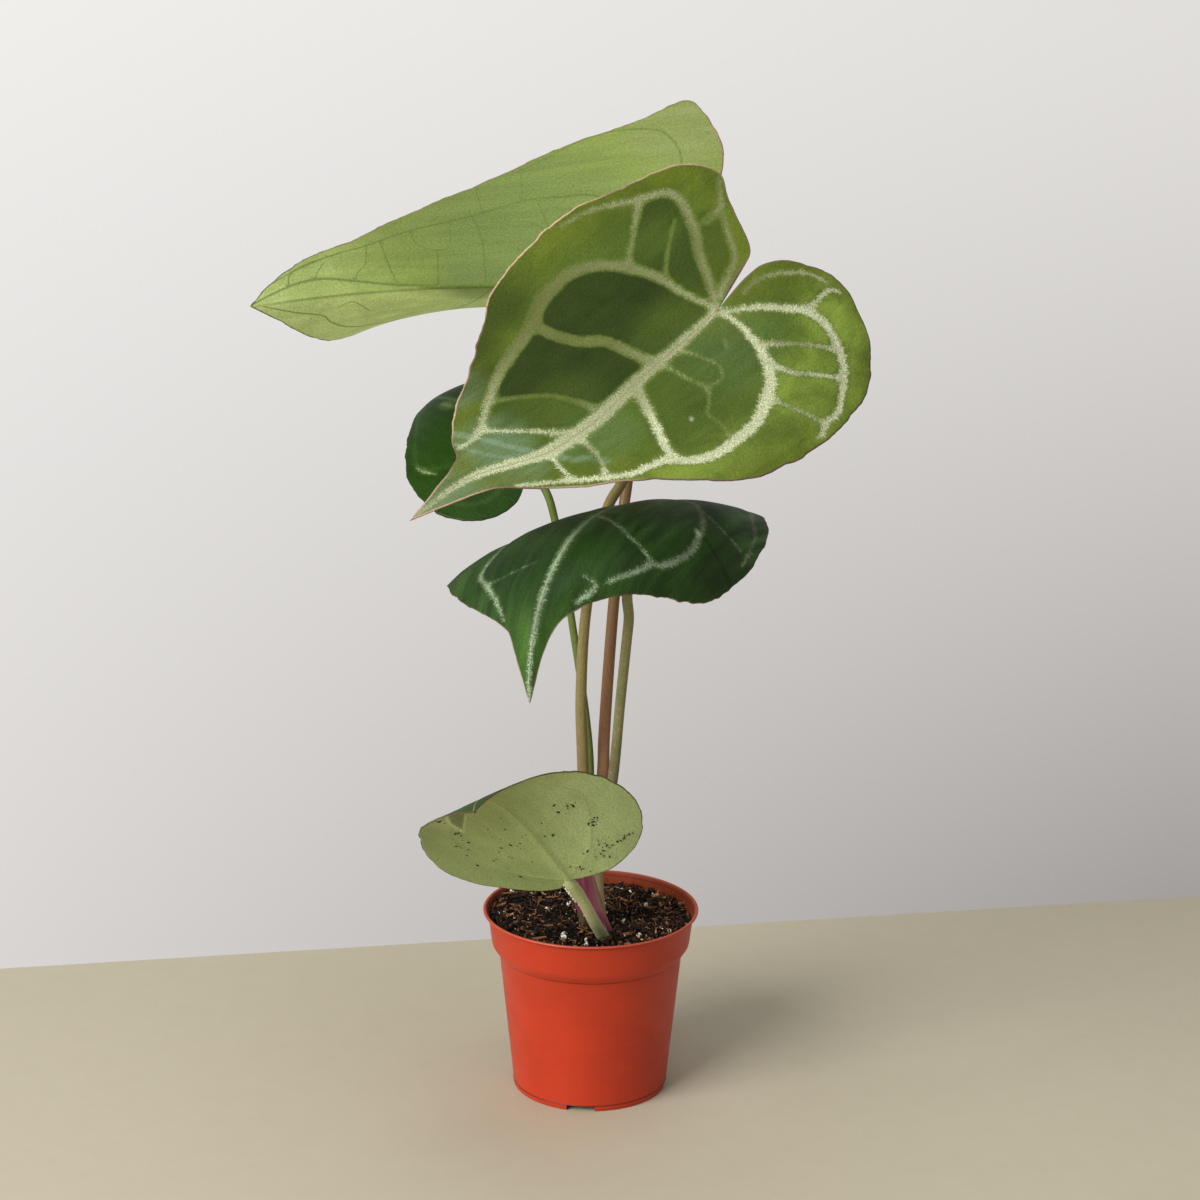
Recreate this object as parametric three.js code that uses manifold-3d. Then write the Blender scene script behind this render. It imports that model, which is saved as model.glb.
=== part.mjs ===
// Anthurium crystallinum in a 12 cm nursery pot: five heart-shaped leaf blades on their petioles,
// the purple sheath at the crown, the potting mix and the pot.
// Millimetres, +Z up.  The pot stands on z = 0 with its axis on Z, and its front faces -Y.
import * as THREE from 'three';
import { mergeVertices } from 'three/addons/utils/BufferGeometryUtils.js';
import Module from 'manifold-3d';

const wasm = await Module();
wasm.setup();

// ---- driving dimensions (mm, degrees) ----------------------------------------------------------

const GAP = 0.3; // clearance between pieces that touch
const FINE = 0.03; // detail that a cut may lose
const WELD = 1e-4; // points closer than this are one
const STRAIGHT = 1e-7; // a section that curls less than this (radians for each mm) counts as straight

const POT = {
  color: 0xc4472c,
  roughness: 0.45,
  height: 104,
  lipRadius: 60,
  lipHeight: 2.2,
  lipRound: 0.8, // the softened edges of the lip
  bandTopRadius: 56.6,
  bandFootRadius: 55.2,
  bandFootZ: 85,
  bodyTopRadius: 51.2,
  bodyTopZ: 79.4,
  shelf: 0.7, // the sharp turn under the slope between the body and the band
  footRadius: 43,
  footRound: 0.5,
  wall: 1.2,
  sides: 48,
};

const BASE = {
  raise: 3.4, // underside of the drained floor above the table
  footRing: 2.4, // width of the ring that the pot stands on
  padRadius: 15, // flat pad in the middle, level with the ring
  notchWidth: 15.7,
  notchTurn: -6.7, // the front notch, turned from -Y
  notches: 4,
  drainRadius: 4,
  drainAt: 28, // distance of each drain hole from the axis
  drainSides: 16,
};

const SOIL = {
  color: 0x3a2a1f,
  roughness: 0.95,
  level: 94,
  // Lumps: radians for each mm along X and along Y, phase, height.
  waves: [[0.31, 0.27, 1.3, 0.4], [0.31, -0.27, 2.5, 0.4], [0.13, -0.19, 0, 0.5], [0.55, 0.47, 1.6, 0.4]],
  rings: 8,
  sectors: 40,
};

const CHIPS = {
  count: 26,
  seed: 12,
  field: 49, // radius of the disc they lie on
  length: [3, 8],
  width: [2, 4],
  height: [2, 3.5],
  tilt: [-20, 20],
  turn: [0, 360],
};

const BLADE = {
  thickness: 0.9, // at the middle
  edge: 0.6, // at the margin
  midribDepth: 1.1, // how far the midrib stands out of the underside at the petiole
  rowsPerPoint: 2, // rows of the mesh between two points of the outline
  columns: 5, // from the midrib to the margin
  halfWidth: 0.46, // of the length, where curl is reached
  roughness: 0.55,
  footStart: 0.1, // outline rows that lie ahead of this part of the length leave the midrib
  footPower: 1.15,
  steps: 24, // steps of the midrib in one blade length
};

const PETIOLE = {
  sides: 12,
  steps: 20,
  collar: 6, // length of the joint between the stem and the blade, which is one with the blade
  collarTip: 1, // its radius where it meets the midrib
  roughness: 0.5,
};

// A blade is a flat heart laid on a bent midrib.  Its flat coordinates are a, from the petiole point
// towards the tip, and b, sideways.  heading and rise give the midrib's direction at the petiole
// point, and roll turns the blade about it.  bend, yaw and twist are degrees for each blade length,
// at the lobes, the middle and the tip.  fold is the slope of each half beside the midrib, and curl
// is what it gains by the margin.
const BLADES = {
  back: {
    color: 0x8fa15a,
    at: [31.2, 33.4, 444.4],
    heading: 178,
    rise: 4,
    roll: 83,
    length: 229,
    back: -49,
    bend: [-8, 66, 74],
    yaw: [-7, -11, 20],
    twist: [13, -2, -10],
    left: {
      fold: [3, 103, 38],
      curl: [25, -37, 2],
      outline: [
        [0, 0], [-8, 8], [-18, 24], [-26, 44], [-30, 64], [-29, 82], [-18, 101], [-8, 110],
        [12, 103], [48, 94], [78, 79], [104, 66], [128, 52], [154, 37], [182, 25], [206, 13],
        [229, 0],
      ],
    },
    right: {
      fold: [-2, 100, -21],
      curl: [38, 104, 45],
      outline: [
        [0, 0], [-8, -8], [-18, -24], [-26, -44], [-30, -64], [-27, -84], [-16, -100], [0, -108],
        [22, -106], [48, -100], [74, -92], [100, -82], [124, -69], [148, -52], [174, -33],
        [202, -14], [229, 0],
      ],
    },
  },
  front: {
    color: 0x5f7a2c,
    at: [62.3, -69.1, 451.8],
    heading: 218,
    rise: -33,
    roll: -43,
    length: 213,
    back: -69,
    bend: [25, -71, 12],
    yaw: [1, -24, 2],
    twist: [32, -3, -7],
    left: {
      fold: [-5, 20, 17],
      curl: [-30, 3, -2],
      outline: [
        [0, 0], [-26, 1], [-42, 4], [-56, 21], [-60, 42], [-46, 69], [-22, 83], [10, 88], [44, 87],
        [72, 80], [96, 60], [116, 44], [136, 33], [152, 19], [168, 7], [190, 3], [213, 0],
      ],
    },
    right: {
      fold: [-13, 3, -8],
      curl: [16, 21, -30],
      outline: [
        [0, 0], [-24, -6], [-40, -14], [-53, -37], [-62, -52], [-50, -70], [-24, -80], [12, -91],
        [46, -92], [78, -86], [104, -70], [124, -57], [148, -42], [160, -30], [170, -17], [192, -8],
        [213, 0],
      ],
    },
  },
  middle: {
    color: 0x2f5a33,
    at: [24.2, -79.8, 352.9],
    heading: 240,
    rise: 13,
    roll: 25,
    length: 174,
    back: -60,
    bend: [4, 93, 126],
    yaw: [-8, -11, 14],
    twist: [-28, -64, 39],
    left: {
      fold: [-7, 16, -58],
      curl: [-82, -141, 5],
      outline: [
        [0, 0], [-18, 4], [-40, 12], [-55, 25], [-58, 39], [-44, 54], [-20, 70], [0, 78], [28, 80],
        [56, 72], [80, 55], [98, 38], [116, 22], [130, 12], [148, 6.5], [163, 3.5], [174, 0],
      ],
    },
    right: {
      fold: [6, 11, -19],
      curl: [-52, -37, -11],
      outline: [
        [0, 0], [-12, -5], [-30, -20], [-38, -45], [-30, -70], [-10, -88], [20, -96], [48, -93],
        [68, -85], [84, -78], [100, -67], [114, -52], [127, -33], [137, -17], [150, -10], [164, -4],
        [174, 0],
      ],
    },
  },
  small: {
    color: 0x2a5222,
    at: [-43.1, 24, 361.7],
    heading: 136,
    rise: 29,
    roll: -29,
    length: 116,
    back: -39,
    bend: [28, 73, 100],
    yaw: [6, -8, 1],
    twist: [3, 14, -8],
    left: {
      fold: [-7, -14, -15],
      curl: [7, -9, 3],
      outline: [
        [0, 0], [-13, 3], [-20, 8], [-27, 16], [-30, 26], [-28, 37], [-23, 46], [-15, 53], [-3, 58],
        [12, 58], [28, 55], [44, 47], [60, 36], [75, 24], [89, 14], [104, 5], [116, 0],
      ],
    },
    right: {
      fold: [-6, -5, 7],
      curl: [13, -20, -22],
      outline: [
        [0, 0], [-15, -3], [-24, -7], [-32, -15], [-35, -24], [-34, -35], [-27, -44], [-17, -50],
        [-3, -54], [12, -55], [28, -52], [44, -45], [60, -34], [75, -23], [89, -13], [104, -5],
        [116, 0],
      ],
    },
  },
  low: {
    color: 0x92a070,
    at: [-12.7, -73.2, 148.1],
    heading: 230,
    rise: 50,
    roll: 32,
    length: 131,
    back: -18,
    bend: [-24, 24, 180],
    yaw: [1, -18, 5],
    twist: [23, 33, 1],
    left: {
      fold: [0, 5, -13],
      curl: [71, -11, 7],
      outline: [
        [0, 0], [-2, 6], [-4, 14], [-6, 24], [-5, 34], [-2, 44], [8, 52], [22, 55], [38, 54],
        [56, 50], [74, 42], [88, 33], [98, 24], [108, 15], [117, 9], [125, 4], [131, 0],
      ],
    },
    right: {
      fold: [21, 17, 0],
      curl: [-9, 18, 10],
      outline: [
        [0, 0], [-8, -6], [-13, -14], [-17, -28], [-16, -45], [-12, -60], [-4, -70], [10, -76],
        [34, -71], [56, -60], [74, -49], [86, -38], [98, -28], [108, -19], [117, -11], [125, -5],
        [131, 0],
      ],
    },
  },
};

// Each petiole's points run from the crown up to its blade, and the last is the blade's own.
const PETIOLES = {
  front: {
    color: 0x7f7a45,
    radii: [3.4, 3.1, 2.9, 2.9, 3.2],
    points: [
      [-2, -11.5, 81], [-4.4, -14, 130], [-4.7, -19, 191], [-6, -23, 232], [-3, -30, 287],
      [7.7, -42, 343], [14.8, -47, 357], [34, -57, 399],
    ],
  },
  back: {
    color: 0x86604c,
    radii: [3.5, 3.2, 3.1, 3.1, 3.4],
    points: [
      [4.5, -4, 81], [0.5, -9, 129], [6.2, -12, 188], [6.6, -10, 205], [11.5, -3, 282],
      [16.5, 6, 332], [18.1, 9, 344], [23.5, 19, 392],
    ],
  },
  middle: {
    color: 0x66753f,
    radii: [3.2, 2.9, 2.7, 2.8, 3.1],
    points: [
      [8, -11.5, 81], [3.8, -17, 132], [11.6, -25, 189], [15.1, -36, 235], [18.1, -50, 274],
      [18.9, -56, 287], [17.8, -62, 300], [19.5, -70, 325],
    ],
  },
  small: {
    color: 0x5c8a34,
    radii: [2.6, 2.3, 2.1, 2.1, 2.3],
    points: [
      [-4, -3.5, 81], [-5.5, -3, 127], [-0.9, -3, 186], [-11.8, 6, 271], [-20.4, 12, 321],
      [-25.7, 15, 338], [-36, 25, 349],
    ],
  },
  low: {
    color: 0x93a06c,
    radii: [3.2, 3.3, 3, 3.1],
    points: [[9, -19.5, 81], [9, -27, 95], [2.5, -42, 112], [-5, -58, 131]],
  },
};

const SHEATH = {
  color: 0x6f3a52,
  roughness: 0.5,
  foot: [3, -9, 84],
  middle: [0, -11, 108],
  top: [-5, -13, 138],
  radii: [10.8, 10, 8],
  from: [188, 196, 225], // the turns between which it wraps the crown, from its foot to its top
  to: [345, 282, 262],
  thickness: 0.9,
  columns: 12,
  rows: 7,
};

const RHIZOME = {
  color: 0x6b4a30,
  roughness: 0.8,
  at: [4, -11],
  top: 83.6,
  depth: 22,
  topRadius: 13.5,
  footRadius: 8,
  sides: 16,
};

// ---- colours ------------------------------------------------------------------------------------

const finish = ({ color }, { roughness }) => new THREE.MeshStandardMaterial({ color, roughness });

// ---- solids -------------------------------------------------------------------------------------

// A closed surface as a solid.
function solid(geometry) {
  const bare = geometry.toNonIndexed();
  bare.deleteAttribute('normal');
  bare.deleteAttribute('uv');
  const merged = mergeVertices(bare, WELD);
  const points = merged.getAttribute('position').array;
  const index = merged.getIndex().array;
  const kept = [];
  for (let i = 0; i < index.length; i += 3) {
    const [p, q, r] = [index[i], index[i + 1], index[i + 2]];
    if (p !== q && q !== r && r !== p) kept.push(p, q, r);
  }
  return new wasm.Manifold(new wasm.Mesh({
    numProp: 3,
    vertProperties: new Float32Array(points),
    triVerts: new Uint32Array(kept),
  }));
}

const box = (x, y, z) => solid(new THREE.BoxGeometry(x, y, z));

// A closed cylinder or cone that stands on z = 0.
function drum(footRadius, topRadius, height, sides) {
  const geometry = new THREE.CylinderGeometry(topRadius, footRadius, height, sides);
  geometry.rotateX(Math.PI / 2);
  geometry.translate(0, 0, height / 2);
  return solid(geometry);
}

// The surface of a solid.
function geometryOf(body) {
  const mesh = body.getMesh();
  const geometry = new THREE.BufferGeometry();
  geometry.setAttribute('position', new THREE.BufferAttribute(new Float32Array(mesh.vertProperties), 3));
  geometry.setIndex(new THREE.BufferAttribute(new Uint32Array(mesh.triVerts), 1));
  geometry.computeVertexNormals();
  return geometry;
}

function piece(name, body, material) {
  const mesh = new THREE.Mesh(geometryOf(body), material);
  mesh.name = name;
  return mesh;
}

// The main body of a result, without the slivers that a cut leaves.
function largest(body) {
  const main = (whole) => whole.decompose().sort((p, q) => q.volume() - p.volume())[0];
  return main(main(body).asOriginal().simplify(FINE));
}

// A body cut back until it is clear of another.
function clearOf(body, other) {
  const nudges = [[1, 0, 0], [0, 1, 0], [0, 0, 1]].flatMap((v) => [v, v.map((c) => -c)]);
  const cut = nudges.reduce((rest, v) => rest.subtract(other.translate(v.map((c) => c * GAP))), body);
  return largest(cut);
}

// A seeded random number between 0 and 1.
function randomFrom(seed) {
  let state = seed;
  return () => {
    state = (state * 16807) % 2147483647;
    return state / 2147483647;
  };
}

const { degToRad: radians, lerp, mapLinear } = THREE.MathUtils;

// The value at u between 0 and 1 of a curve through the first and the last, drawn to the middle one.
const blend3 = (u, [first, middle, last]) => {
  const t = THREE.MathUtils.clamp(u, 0, 1);
  return (1 - t) ** 2 * first + 2 * t * (1 - t) * middle + t * t * last;
};

const vector = (p) => new THREE.Vector3(...p);

// ---- pot ----------------------------------------------------------------------------------------

function lathe(profile) {
  const geometry = new THREE.LatheGeometry(profile.map(([r, z]) => new THREE.Vector2(r, z)), POT.sides);
  geometry.rotateX(Math.PI / 2);
  return solid(geometry);
}

// The wall's outside radius at a height on the straight body and on the band.
const bodyRadius = (z) => mapLinear(z, 0, POT.bodyTopZ, POT.footRadius, POT.bodyTopRadius);
const lipFoot = POT.height - POT.lipHeight;
const bandRadius = (z) => mapLinear(z, POT.bandFootZ, lipFoot, POT.bandFootRadius, POT.bandTopRadius);

function potBody() {
  const { height, wall, lipRound, footRound, shelf } = POT;
  const floorTop = BASE.raise + wall;
  const ring = POT.footRadius - BASE.footRing;
  const stepTop = POT.bodyTopZ + wall;
  const shell = lathe([
    [0, 0],
    [BASE.padRadius, 0],
    [BASE.padRadius + wall, BASE.raise],
    [ring - wall, BASE.raise],
    [ring, 0],
    [POT.footRadius - footRound, 0],
    [POT.footRadius, footRound],
    [POT.bodyTopRadius, POT.bodyTopZ],
    [POT.bodyTopRadius + shelf, POT.bodyTopZ],
    [POT.bandFootRadius, POT.bandFootZ],
    [POT.bandTopRadius, lipFoot],
    [POT.lipRadius - lipRound, lipFoot],
    [POT.lipRadius, lipFoot + lipRound],
    [POT.lipRadius - lipRound, height],
    [POT.bandTopRadius - lipRound, height],
    [POT.bandTopRadius - wall, lipFoot],
    [POT.bandFootRadius - wall, POT.bandFootZ],
    [POT.bodyTopRadius - wall, stepTop],
    [bodyRadius(floorTop) - wall, floorTop],
    [0, floorTop],
  ]);
  const cuts = [];
  for (let i = 0; i < BASE.notches; i += 1) {
    const turn = -90 + BASE.notchTurn + (i * 360) / BASE.notches;
    const notch = box(3 * BASE.footRing, BASE.notchWidth, 2 * BASE.raise).translate([POT.footRadius, 0, 0]);
    const drain = drum(BASE.drainRadius, BASE.drainRadius, 2 * floorTop, BASE.drainSides)
      .translate([BASE.drainAt, 0, 0]);
    cuts.push(notch.rotate([0, 0, turn]), drain.rotate([0, 0, turn]));
  }
  return shell.subtract(wasm.Manifold.union(cuts));
}

// ---- potting mix --------------------------------------------------------------------------------

// The height of the loose surface.
const soilHeight = (x, y) => SOIL.waves.reduce(
  (z, [alongX, alongY, phase, height]) => z + height * Math.sin(alongX * x + alongY * y + phase),
  SOIL.level,
);

// Rings from the middle of the surface out to the wall, then down the wall to the floor.
function soilBody() {
  const inset = POT.wall + GAP;
  const floor = BASE.raise + inset;
  const rim = bandRadius(SOIL.level) - inset;
  const rings = [];
  for (let k = 1; k <= SOIL.rings; k += 1) {
    rings.push({ radius: (rim * k) / SOIL.rings, height: soilHeight });
  }
  rings.push({ radius: POT.bandFootRadius - inset, height: () => POT.bandFootZ });
  rings.push({ radius: POT.bodyTopRadius - inset, height: () => POT.bodyTopZ + POT.wall });
  rings.push({ radius: bodyRadius(floor) - inset, height: () => floor });
  const points = [0, 0, soilHeight(0, 0)];
  for (const { radius, height } of rings) {
    for (let i = 0; i < SOIL.sectors; i += 1) {
      const turn = (i / SOIL.sectors) * 2 * Math.PI;
      const [x, y] = [radius * Math.cos(turn), radius * Math.sin(turn)];
      points.push(x, y, height(x, y));
    }
  }
  points.push(0, 0, floor);
  const bottom = points.length / 3 - 1;
  const index = [];
  const at = (ring, i) => 1 + ring * SOIL.sectors + (i % SOIL.sectors);
  for (let i = 0; i < SOIL.sectors; i += 1) {
    index.push(0, at(0, i), at(0, i + 1));
    for (let k = 0; k + 1 < rings.length; k += 1) {
      index.push(at(k, i), at(k + 1, i), at(k + 1, i + 1));
      index.push(at(k, i), at(k + 1, i + 1), at(k, i + 1));
    }
    index.push(bottom, at(rings.length - 1, i + 1), at(rings.length - 1, i));
  }
  const geometry = new THREE.BufferGeometry();
  geometry.setAttribute('position', new THREE.BufferAttribute(new Float32Array(points), 3));
  geometry.setIndex(index);
  return solid(geometry);
}

// Chips of bark and perlite that lie half sunk in the surface.
function soilChips() {
  const random = randomFrom(CHIPS.seed);
  const between = ([low, high]) => lerp(low, high, random());
  const chips = [];
  for (let i = 0; i < CHIPS.count; i += 1) {
    const radius = CHIPS.field * Math.sqrt(random());
    const turn = radians(between(CHIPS.turn));
    const [x, y] = [radius * Math.cos(turn), radius * Math.sin(turn)];
    const chip = box(between(CHIPS.length), between(CHIPS.width), between(CHIPS.height))
      .rotate([between(CHIPS.tilt), between(CHIPS.tilt), between(CHIPS.turn)]);
    chips.push(chip.translate([x, y, soilHeight(x, y)]));
  }
  return wasm.Manifold.union(chips);
}

// ---- leaves -------------------------------------------------------------------------------------

// The midrib, marched both ways from the petiole point: at each step its point, its direction, the
// direction to the blade's left and the upper normal.
function midribOf(blade) {
  const [heading, rise] = [radians(blade.heading), radians(blade.rise)];
  const along = new THREE.Vector3(
    Math.cos(rise) * Math.cos(heading),
    Math.cos(rise) * Math.sin(heading),
    Math.sin(rise),
  );
  const up = new THREE.Vector3(0, 0, 1).addScaledVector(along, -along.z).normalize();
  const left = new THREE.Vector3().crossVectors(up, along);
  up.applyAxisAngle(along, radians(blade.roll));
  left.applyAxisAngle(along, radians(blade.roll));
  const march = (reach) => {
    const count = Math.max(2, Math.ceil((Math.abs(reach) / blade.length) * BLADE.steps));
    const h = reach / count;
    const frames = [{ a: 0, point: vector(blade.at), along, left, up }];
    for (let i = 0; i < count; i += 1) {
      const last = frames[i];
      const u = (last.a + h / 2 - blade.back) / (blade.length - blade.back);
      const turn = new THREE.Vector3()
        .addScaledVector(last.left, blend3(u, blade.bend))
        .addScaledVector(last.up, blend3(u, blade.yaw))
        .addScaledVector(last.along, blend3(u, blade.twist))
        .multiplyScalar(radians(h / blade.length));
      const angle = turn.length();
      const axis = angle > 0 ? turn.normalize() : last.up;
      const middle = last.along.clone().applyAxisAngle(axis, angle / 2);
      frames.push({
        a: last.a + h,
        point: last.point.clone().addScaledVector(middle, h),
        along: last.along.clone().applyAxisAngle(axis, angle),
        left: last.left.clone().applyAxisAngle(axis, angle),
        up: last.up.clone().applyAxisAngle(axis, angle),
      });
    }
    return frames;
  };
  return [...march(blade.back).slice(1).reverse(), ...march(blade.length)];
}

// The point of the blade's middle surface at flat coordinates a, b.
function onBlade(blade, midrib, a, b) {
  let i = 1;
  while (i < midrib.length - 1 && midrib[i].a < a) i += 1;
  const [lo, hi] = [midrib[i - 1], midrib[i]];
  const t = (a - lo.a) / (hi.a - lo.a);
  const half = b >= 0 ? blade.left : blade.right;
  const u = (a - blade.back) / (blade.length - blade.back);
  const slope = radians(blend3(u, half.fold));
  let rate = radians(blend3(u, half.curl)) / (BLADE.halfWidth * blade.length);
  if (Math.abs(rate) < STRAIGHT) rate = STRAIGHT;
  const reach = Math.abs(b);
  const out = (Math.sin(slope + rate * reach) - Math.sin(slope)) / rate;
  const lift = (Math.cos(slope) - Math.cos(slope + rate * reach)) / rate;
  return lo.point.clone().lerp(hi.point, t)
    .addScaledVector(lo.left.clone().lerp(hi.left, t), Math.sign(b) * out)
    .addScaledVector(lo.up.clone().lerp(hi.up, t), lift);
}

// Points of a smooth curve through the outline of one half, in flat coordinates.
function outlineOf(half) {
  const curve = new THREE.SplineCurve(half.outline.map(([a, b]) => new THREE.Vector2(a, b)));
  return curve.getPoints((half.outline.length - 1) * BLADE.rowsPerPoint);
}

// The closed solid of a blade.  Rows run from the midrib out to the margin, from the petiole point
// round the lobe to the tip, and the lobe's rows fan out from the petiole point.
function bladeBody(blade) {
  const midrib = midribOf(blade);
  const sides = [outlineOf(blade.left), outlineOf(blade.right)];
  const last = sides[0].length - 1;
  const feet = sides[0].map((p, i) => {
    const along = (p.x + sides[1][i].x) / 2 / blade.length;
    const ahead = Math.max(0, (along - BLADE.footStart) / (1 - BLADE.footStart));
    return blade.length * ahead ** BLADE.footPower;
  });
  const flat = [];
  const index = [];
  const known = new Map();
  const node = (side, i, j) => {
    let key = `${side},${i},${j}`;
    if (i === 0 || (j === 0 && feet[i] === 0)) key = 'petiole point';
    else if (i === last) key = 'tip';
    else if (j === 0) key = `midrib ${i}`;
    if (!known.has(key)) {
      const s = j / BLADE.columns;
      const margin = sides[side][i];
      const [a, b] = [feet[i] + s * (margin.x - feet[i]), s * margin.y];
      known.set(key, flat.length);
      flat.push({ a, b, s });
    }
    return known.get(key);
  };
  const triangle = (p, q, r, side) => {
    if (p === q || q === r || r === p) return;
    index.push(...(side === 0 ? [p, q, r] : [p, r, q]));
  };
  for (const side of [0, 1]) {
    for (let i = 0; i < last; i += 1) {
      for (let j = 0; j < BLADE.columns; j += 1) {
        const [p, q] = [node(side, i, j), node(side, i, j + 1)];
        const [r, t] = [node(side, i + 1, j + 1), node(side, i + 1, j)];
        triangle(p, r, q, side);
        triangle(p, t, r, side);
      }
    }
  }
  return thicken(blade, midrib, flat, index);
}

// Both faces of the blade and the rim between them.
function thicken(blade, midrib, flat, index) {
  const middle = new THREE.BufferGeometry();
  middle.setAttribute('position', new THREE.BufferAttribute(
    new Float32Array(flat.flatMap(({ a, b }) => onBlade(blade, midrib, a, b).toArray())), 3));
  middle.setIndex(index);
  middle.computeVertexNormals();
  const [place, normal] = [middle.getAttribute('position'), middle.getAttribute('normal')];
  const count = flat.length;
  const points = new Float32Array(count * 6);
  const [point, out] = [new THREE.Vector3(), new THREE.Vector3()];
  flat.forEach(({ a, s }, i) => {
    const half = lerp(BLADE.thickness, BLADE.edge, s) / 2;
    const rib = s === 0 ? BLADE.midribDepth * Math.max(0, 1 - a / blade.length) : 0;
    out.fromBufferAttribute(normal, i);
    point.fromBufferAttribute(place, i).addScaledVector(out, half).toArray(points, 3 * i);
    point.fromBufferAttribute(place, i).addScaledVector(out, -half - rib).toArray(points, 3 * (count + i));
  });
  const faces = [...index];
  const edges = new Map();
  for (let i = 0; i < index.length; i += 3) {
    const corner = [index[i], index[i + 1], index[i + 2]];
    faces.push(corner[0] + count, corner[2] + count, corner[1] + count);
    corner.forEach((p, k) => {
      const q = corner[(k + 1) % 3];
      if (!edges.delete(`${q},${p}`)) edges.set(`${p},${q}`, [p, q]);
    });
  }
  for (const [p, q] of edges.values()) {
    faces.push(q, p, p + count, q, p + count, q + count);
  }
  const geometry = new THREE.BufferGeometry();
  geometry.setAttribute('position', new THREE.BufferAttribute(points, 3));
  geometry.setIndex(faces);
  return solid(geometry);
}

// A round stem through points, with a radius at each, closed at both ends.
function stemBody(points, radii, extra = 0) {
  const { sides, steps } = PETIOLE;
  const curve = new THREE.CatmullRomCurve3(points.map(vector), false, 'centripetal');
  const frames = curve.computeFrenetFrames(steps, false);
  const positions = [];
  for (let k = 0; k <= steps; k += 1) {
    const centre = curve.getPointAt(k / steps);
    const where = (k / steps) * (radii.length - 1);
    const cell = Math.min(Math.floor(where), radii.length - 2);
    const radius = lerp(radii[cell], radii[cell + 1], where - cell) + extra;
    for (let i = 0; i < sides; i += 1) {
      const turn = (i / sides) * 2 * Math.PI;
      positions.push(...centre.clone()
        .addScaledVector(frames.normals[k], radius * Math.cos(turn))
        .addScaledVector(frames.binormals[k], radius * Math.sin(turn))
        .toArray());
    }
  }
  positions.push(...curve.getPointAt(0).toArray(), ...curve.getPointAt(1).toArray());
  const [start, end] = [(steps + 1) * sides, (steps + 1) * sides + 1];
  const index = [];
  for (let i = 0; i < sides; i += 1) {
    const next = (i + 1) % sides;
    index.push(start, next, i, end, steps * sides + i, steps * sides + next);
    for (let k = 0; k < steps; k += 1) {
      const [p, q] = [k * sides + i, k * sides + next];
      index.push(p, q, q + sides, p, q + sides, p + sides);
    }
  }
  const geometry = new THREE.BufferGeometry();
  geometry.setAttribute('position', new THREE.BufferAttribute(new Float32Array(positions), 3));
  geometry.setIndex(index);
  return solid(geometry);
}

// The direction from a blade's petiole point back down its stem.
const stemDirection = (blade, points) => vector(points.at(-1)).sub(vector(blade.at)).normalize();

// The swollen joint that carries the blade, tapering into the midrib.
function collarBody(blade, petiole) {
  const { collar, collarTip, sides } = PETIOLE;
  const down = stemDirection(blade, petiole.points);
  const radius = petiole.radii.at(-1);
  const shape = new THREE.CylinderGeometry(radius, collarTip, collar, sides);
  shape.translate(0, collar / 2, 0);
  shape.applyQuaternion(new THREE.Quaternion().setFromUnitVectors(new THREE.Vector3(0, 1, 0), down));
  shape.translate(...blade.at);
  return solid(shape);
}

// ---- sheath at the crown ------------------------------------------------------------------------

// A curved scale round the front of the petioles' feet, narrowing to a blunt point.
function sheathBody() {
  const { rows, columns } = SHEATH;
  const { foot, middle, top } = SHEATH;
  const axis = new THREE.QuadraticBezierCurve3(vector(foot), vector(middle), vector(top));
  const positions = [];
  for (let k = 0; k <= rows; k += 1) {
    const u = k / rows;
    const centre = axis.getPoint(u);
    const radius = blend3(u, SHEATH.radii);
    for (const face of [0, 1]) {
      const reach = radius - face * SHEATH.thickness;
      for (let i = 0; i <= columns; i += 1) {
        const turn = radians(lerp(blend3(u, SHEATH.from), blend3(u, SHEATH.to), i / columns));
        positions.push(centre.x + reach * Math.cos(turn), centre.y + reach * Math.sin(turn), centre.z);
      }
    }
  }
  const width = columns + 1;
  const at = (k, face, i) => (k * 2 + face) * width + i;
  const index = [];
  const quad = (p, q, r, t) => index.push(p, q, r, p, r, t);
  for (let k = 0; k < rows; k += 1) {
    for (let i = 0; i < columns; i += 1) {
      quad(at(k, 0, i), at(k, 0, i + 1), at(k + 1, 0, i + 1), at(k + 1, 0, i));
      quad(at(k, 1, i + 1), at(k, 1, i), at(k + 1, 1, i), at(k + 1, 1, i + 1));
    }
    quad(at(k, 1, 0), at(k, 0, 0), at(k + 1, 0, 0), at(k + 1, 1, 0));
    quad(at(k, 0, columns), at(k, 1, columns), at(k + 1, 1, columns), at(k + 1, 0, columns));
  }
  for (let i = 0; i < columns; i += 1) {
    quad(at(0, 1, i), at(0, 1, i + 1), at(0, 0, i + 1), at(0, 0, i));
    quad(at(rows, 0, i), at(rows, 0, i + 1), at(rows, 1, i + 1), at(rows, 1, i));
  }
  const geometry = new THREE.BufferGeometry();
  geometry.setAttribute('position', new THREE.BufferAttribute(new Float32Array(positions), 3));
  geometry.setIndex(index);
  return solid(geometry);
}

// The short buried stem that the petioles grow from.
function rhizomeBody(extra = 0) {
  const { at, top, depth, topRadius, footRadius, sides } = RHIZOME;
  return drum(footRadius + extra, topRadius + extra, depth + 4 * extra, sides)
    .translate([...at, top - depth - 2 * extra]);
}

// ---- the plant ----------------------------------------------------------------------------------

const plant = new THREE.Group();
plant.add(piece('pot', potBody(), finish(POT, POT)));

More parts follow.
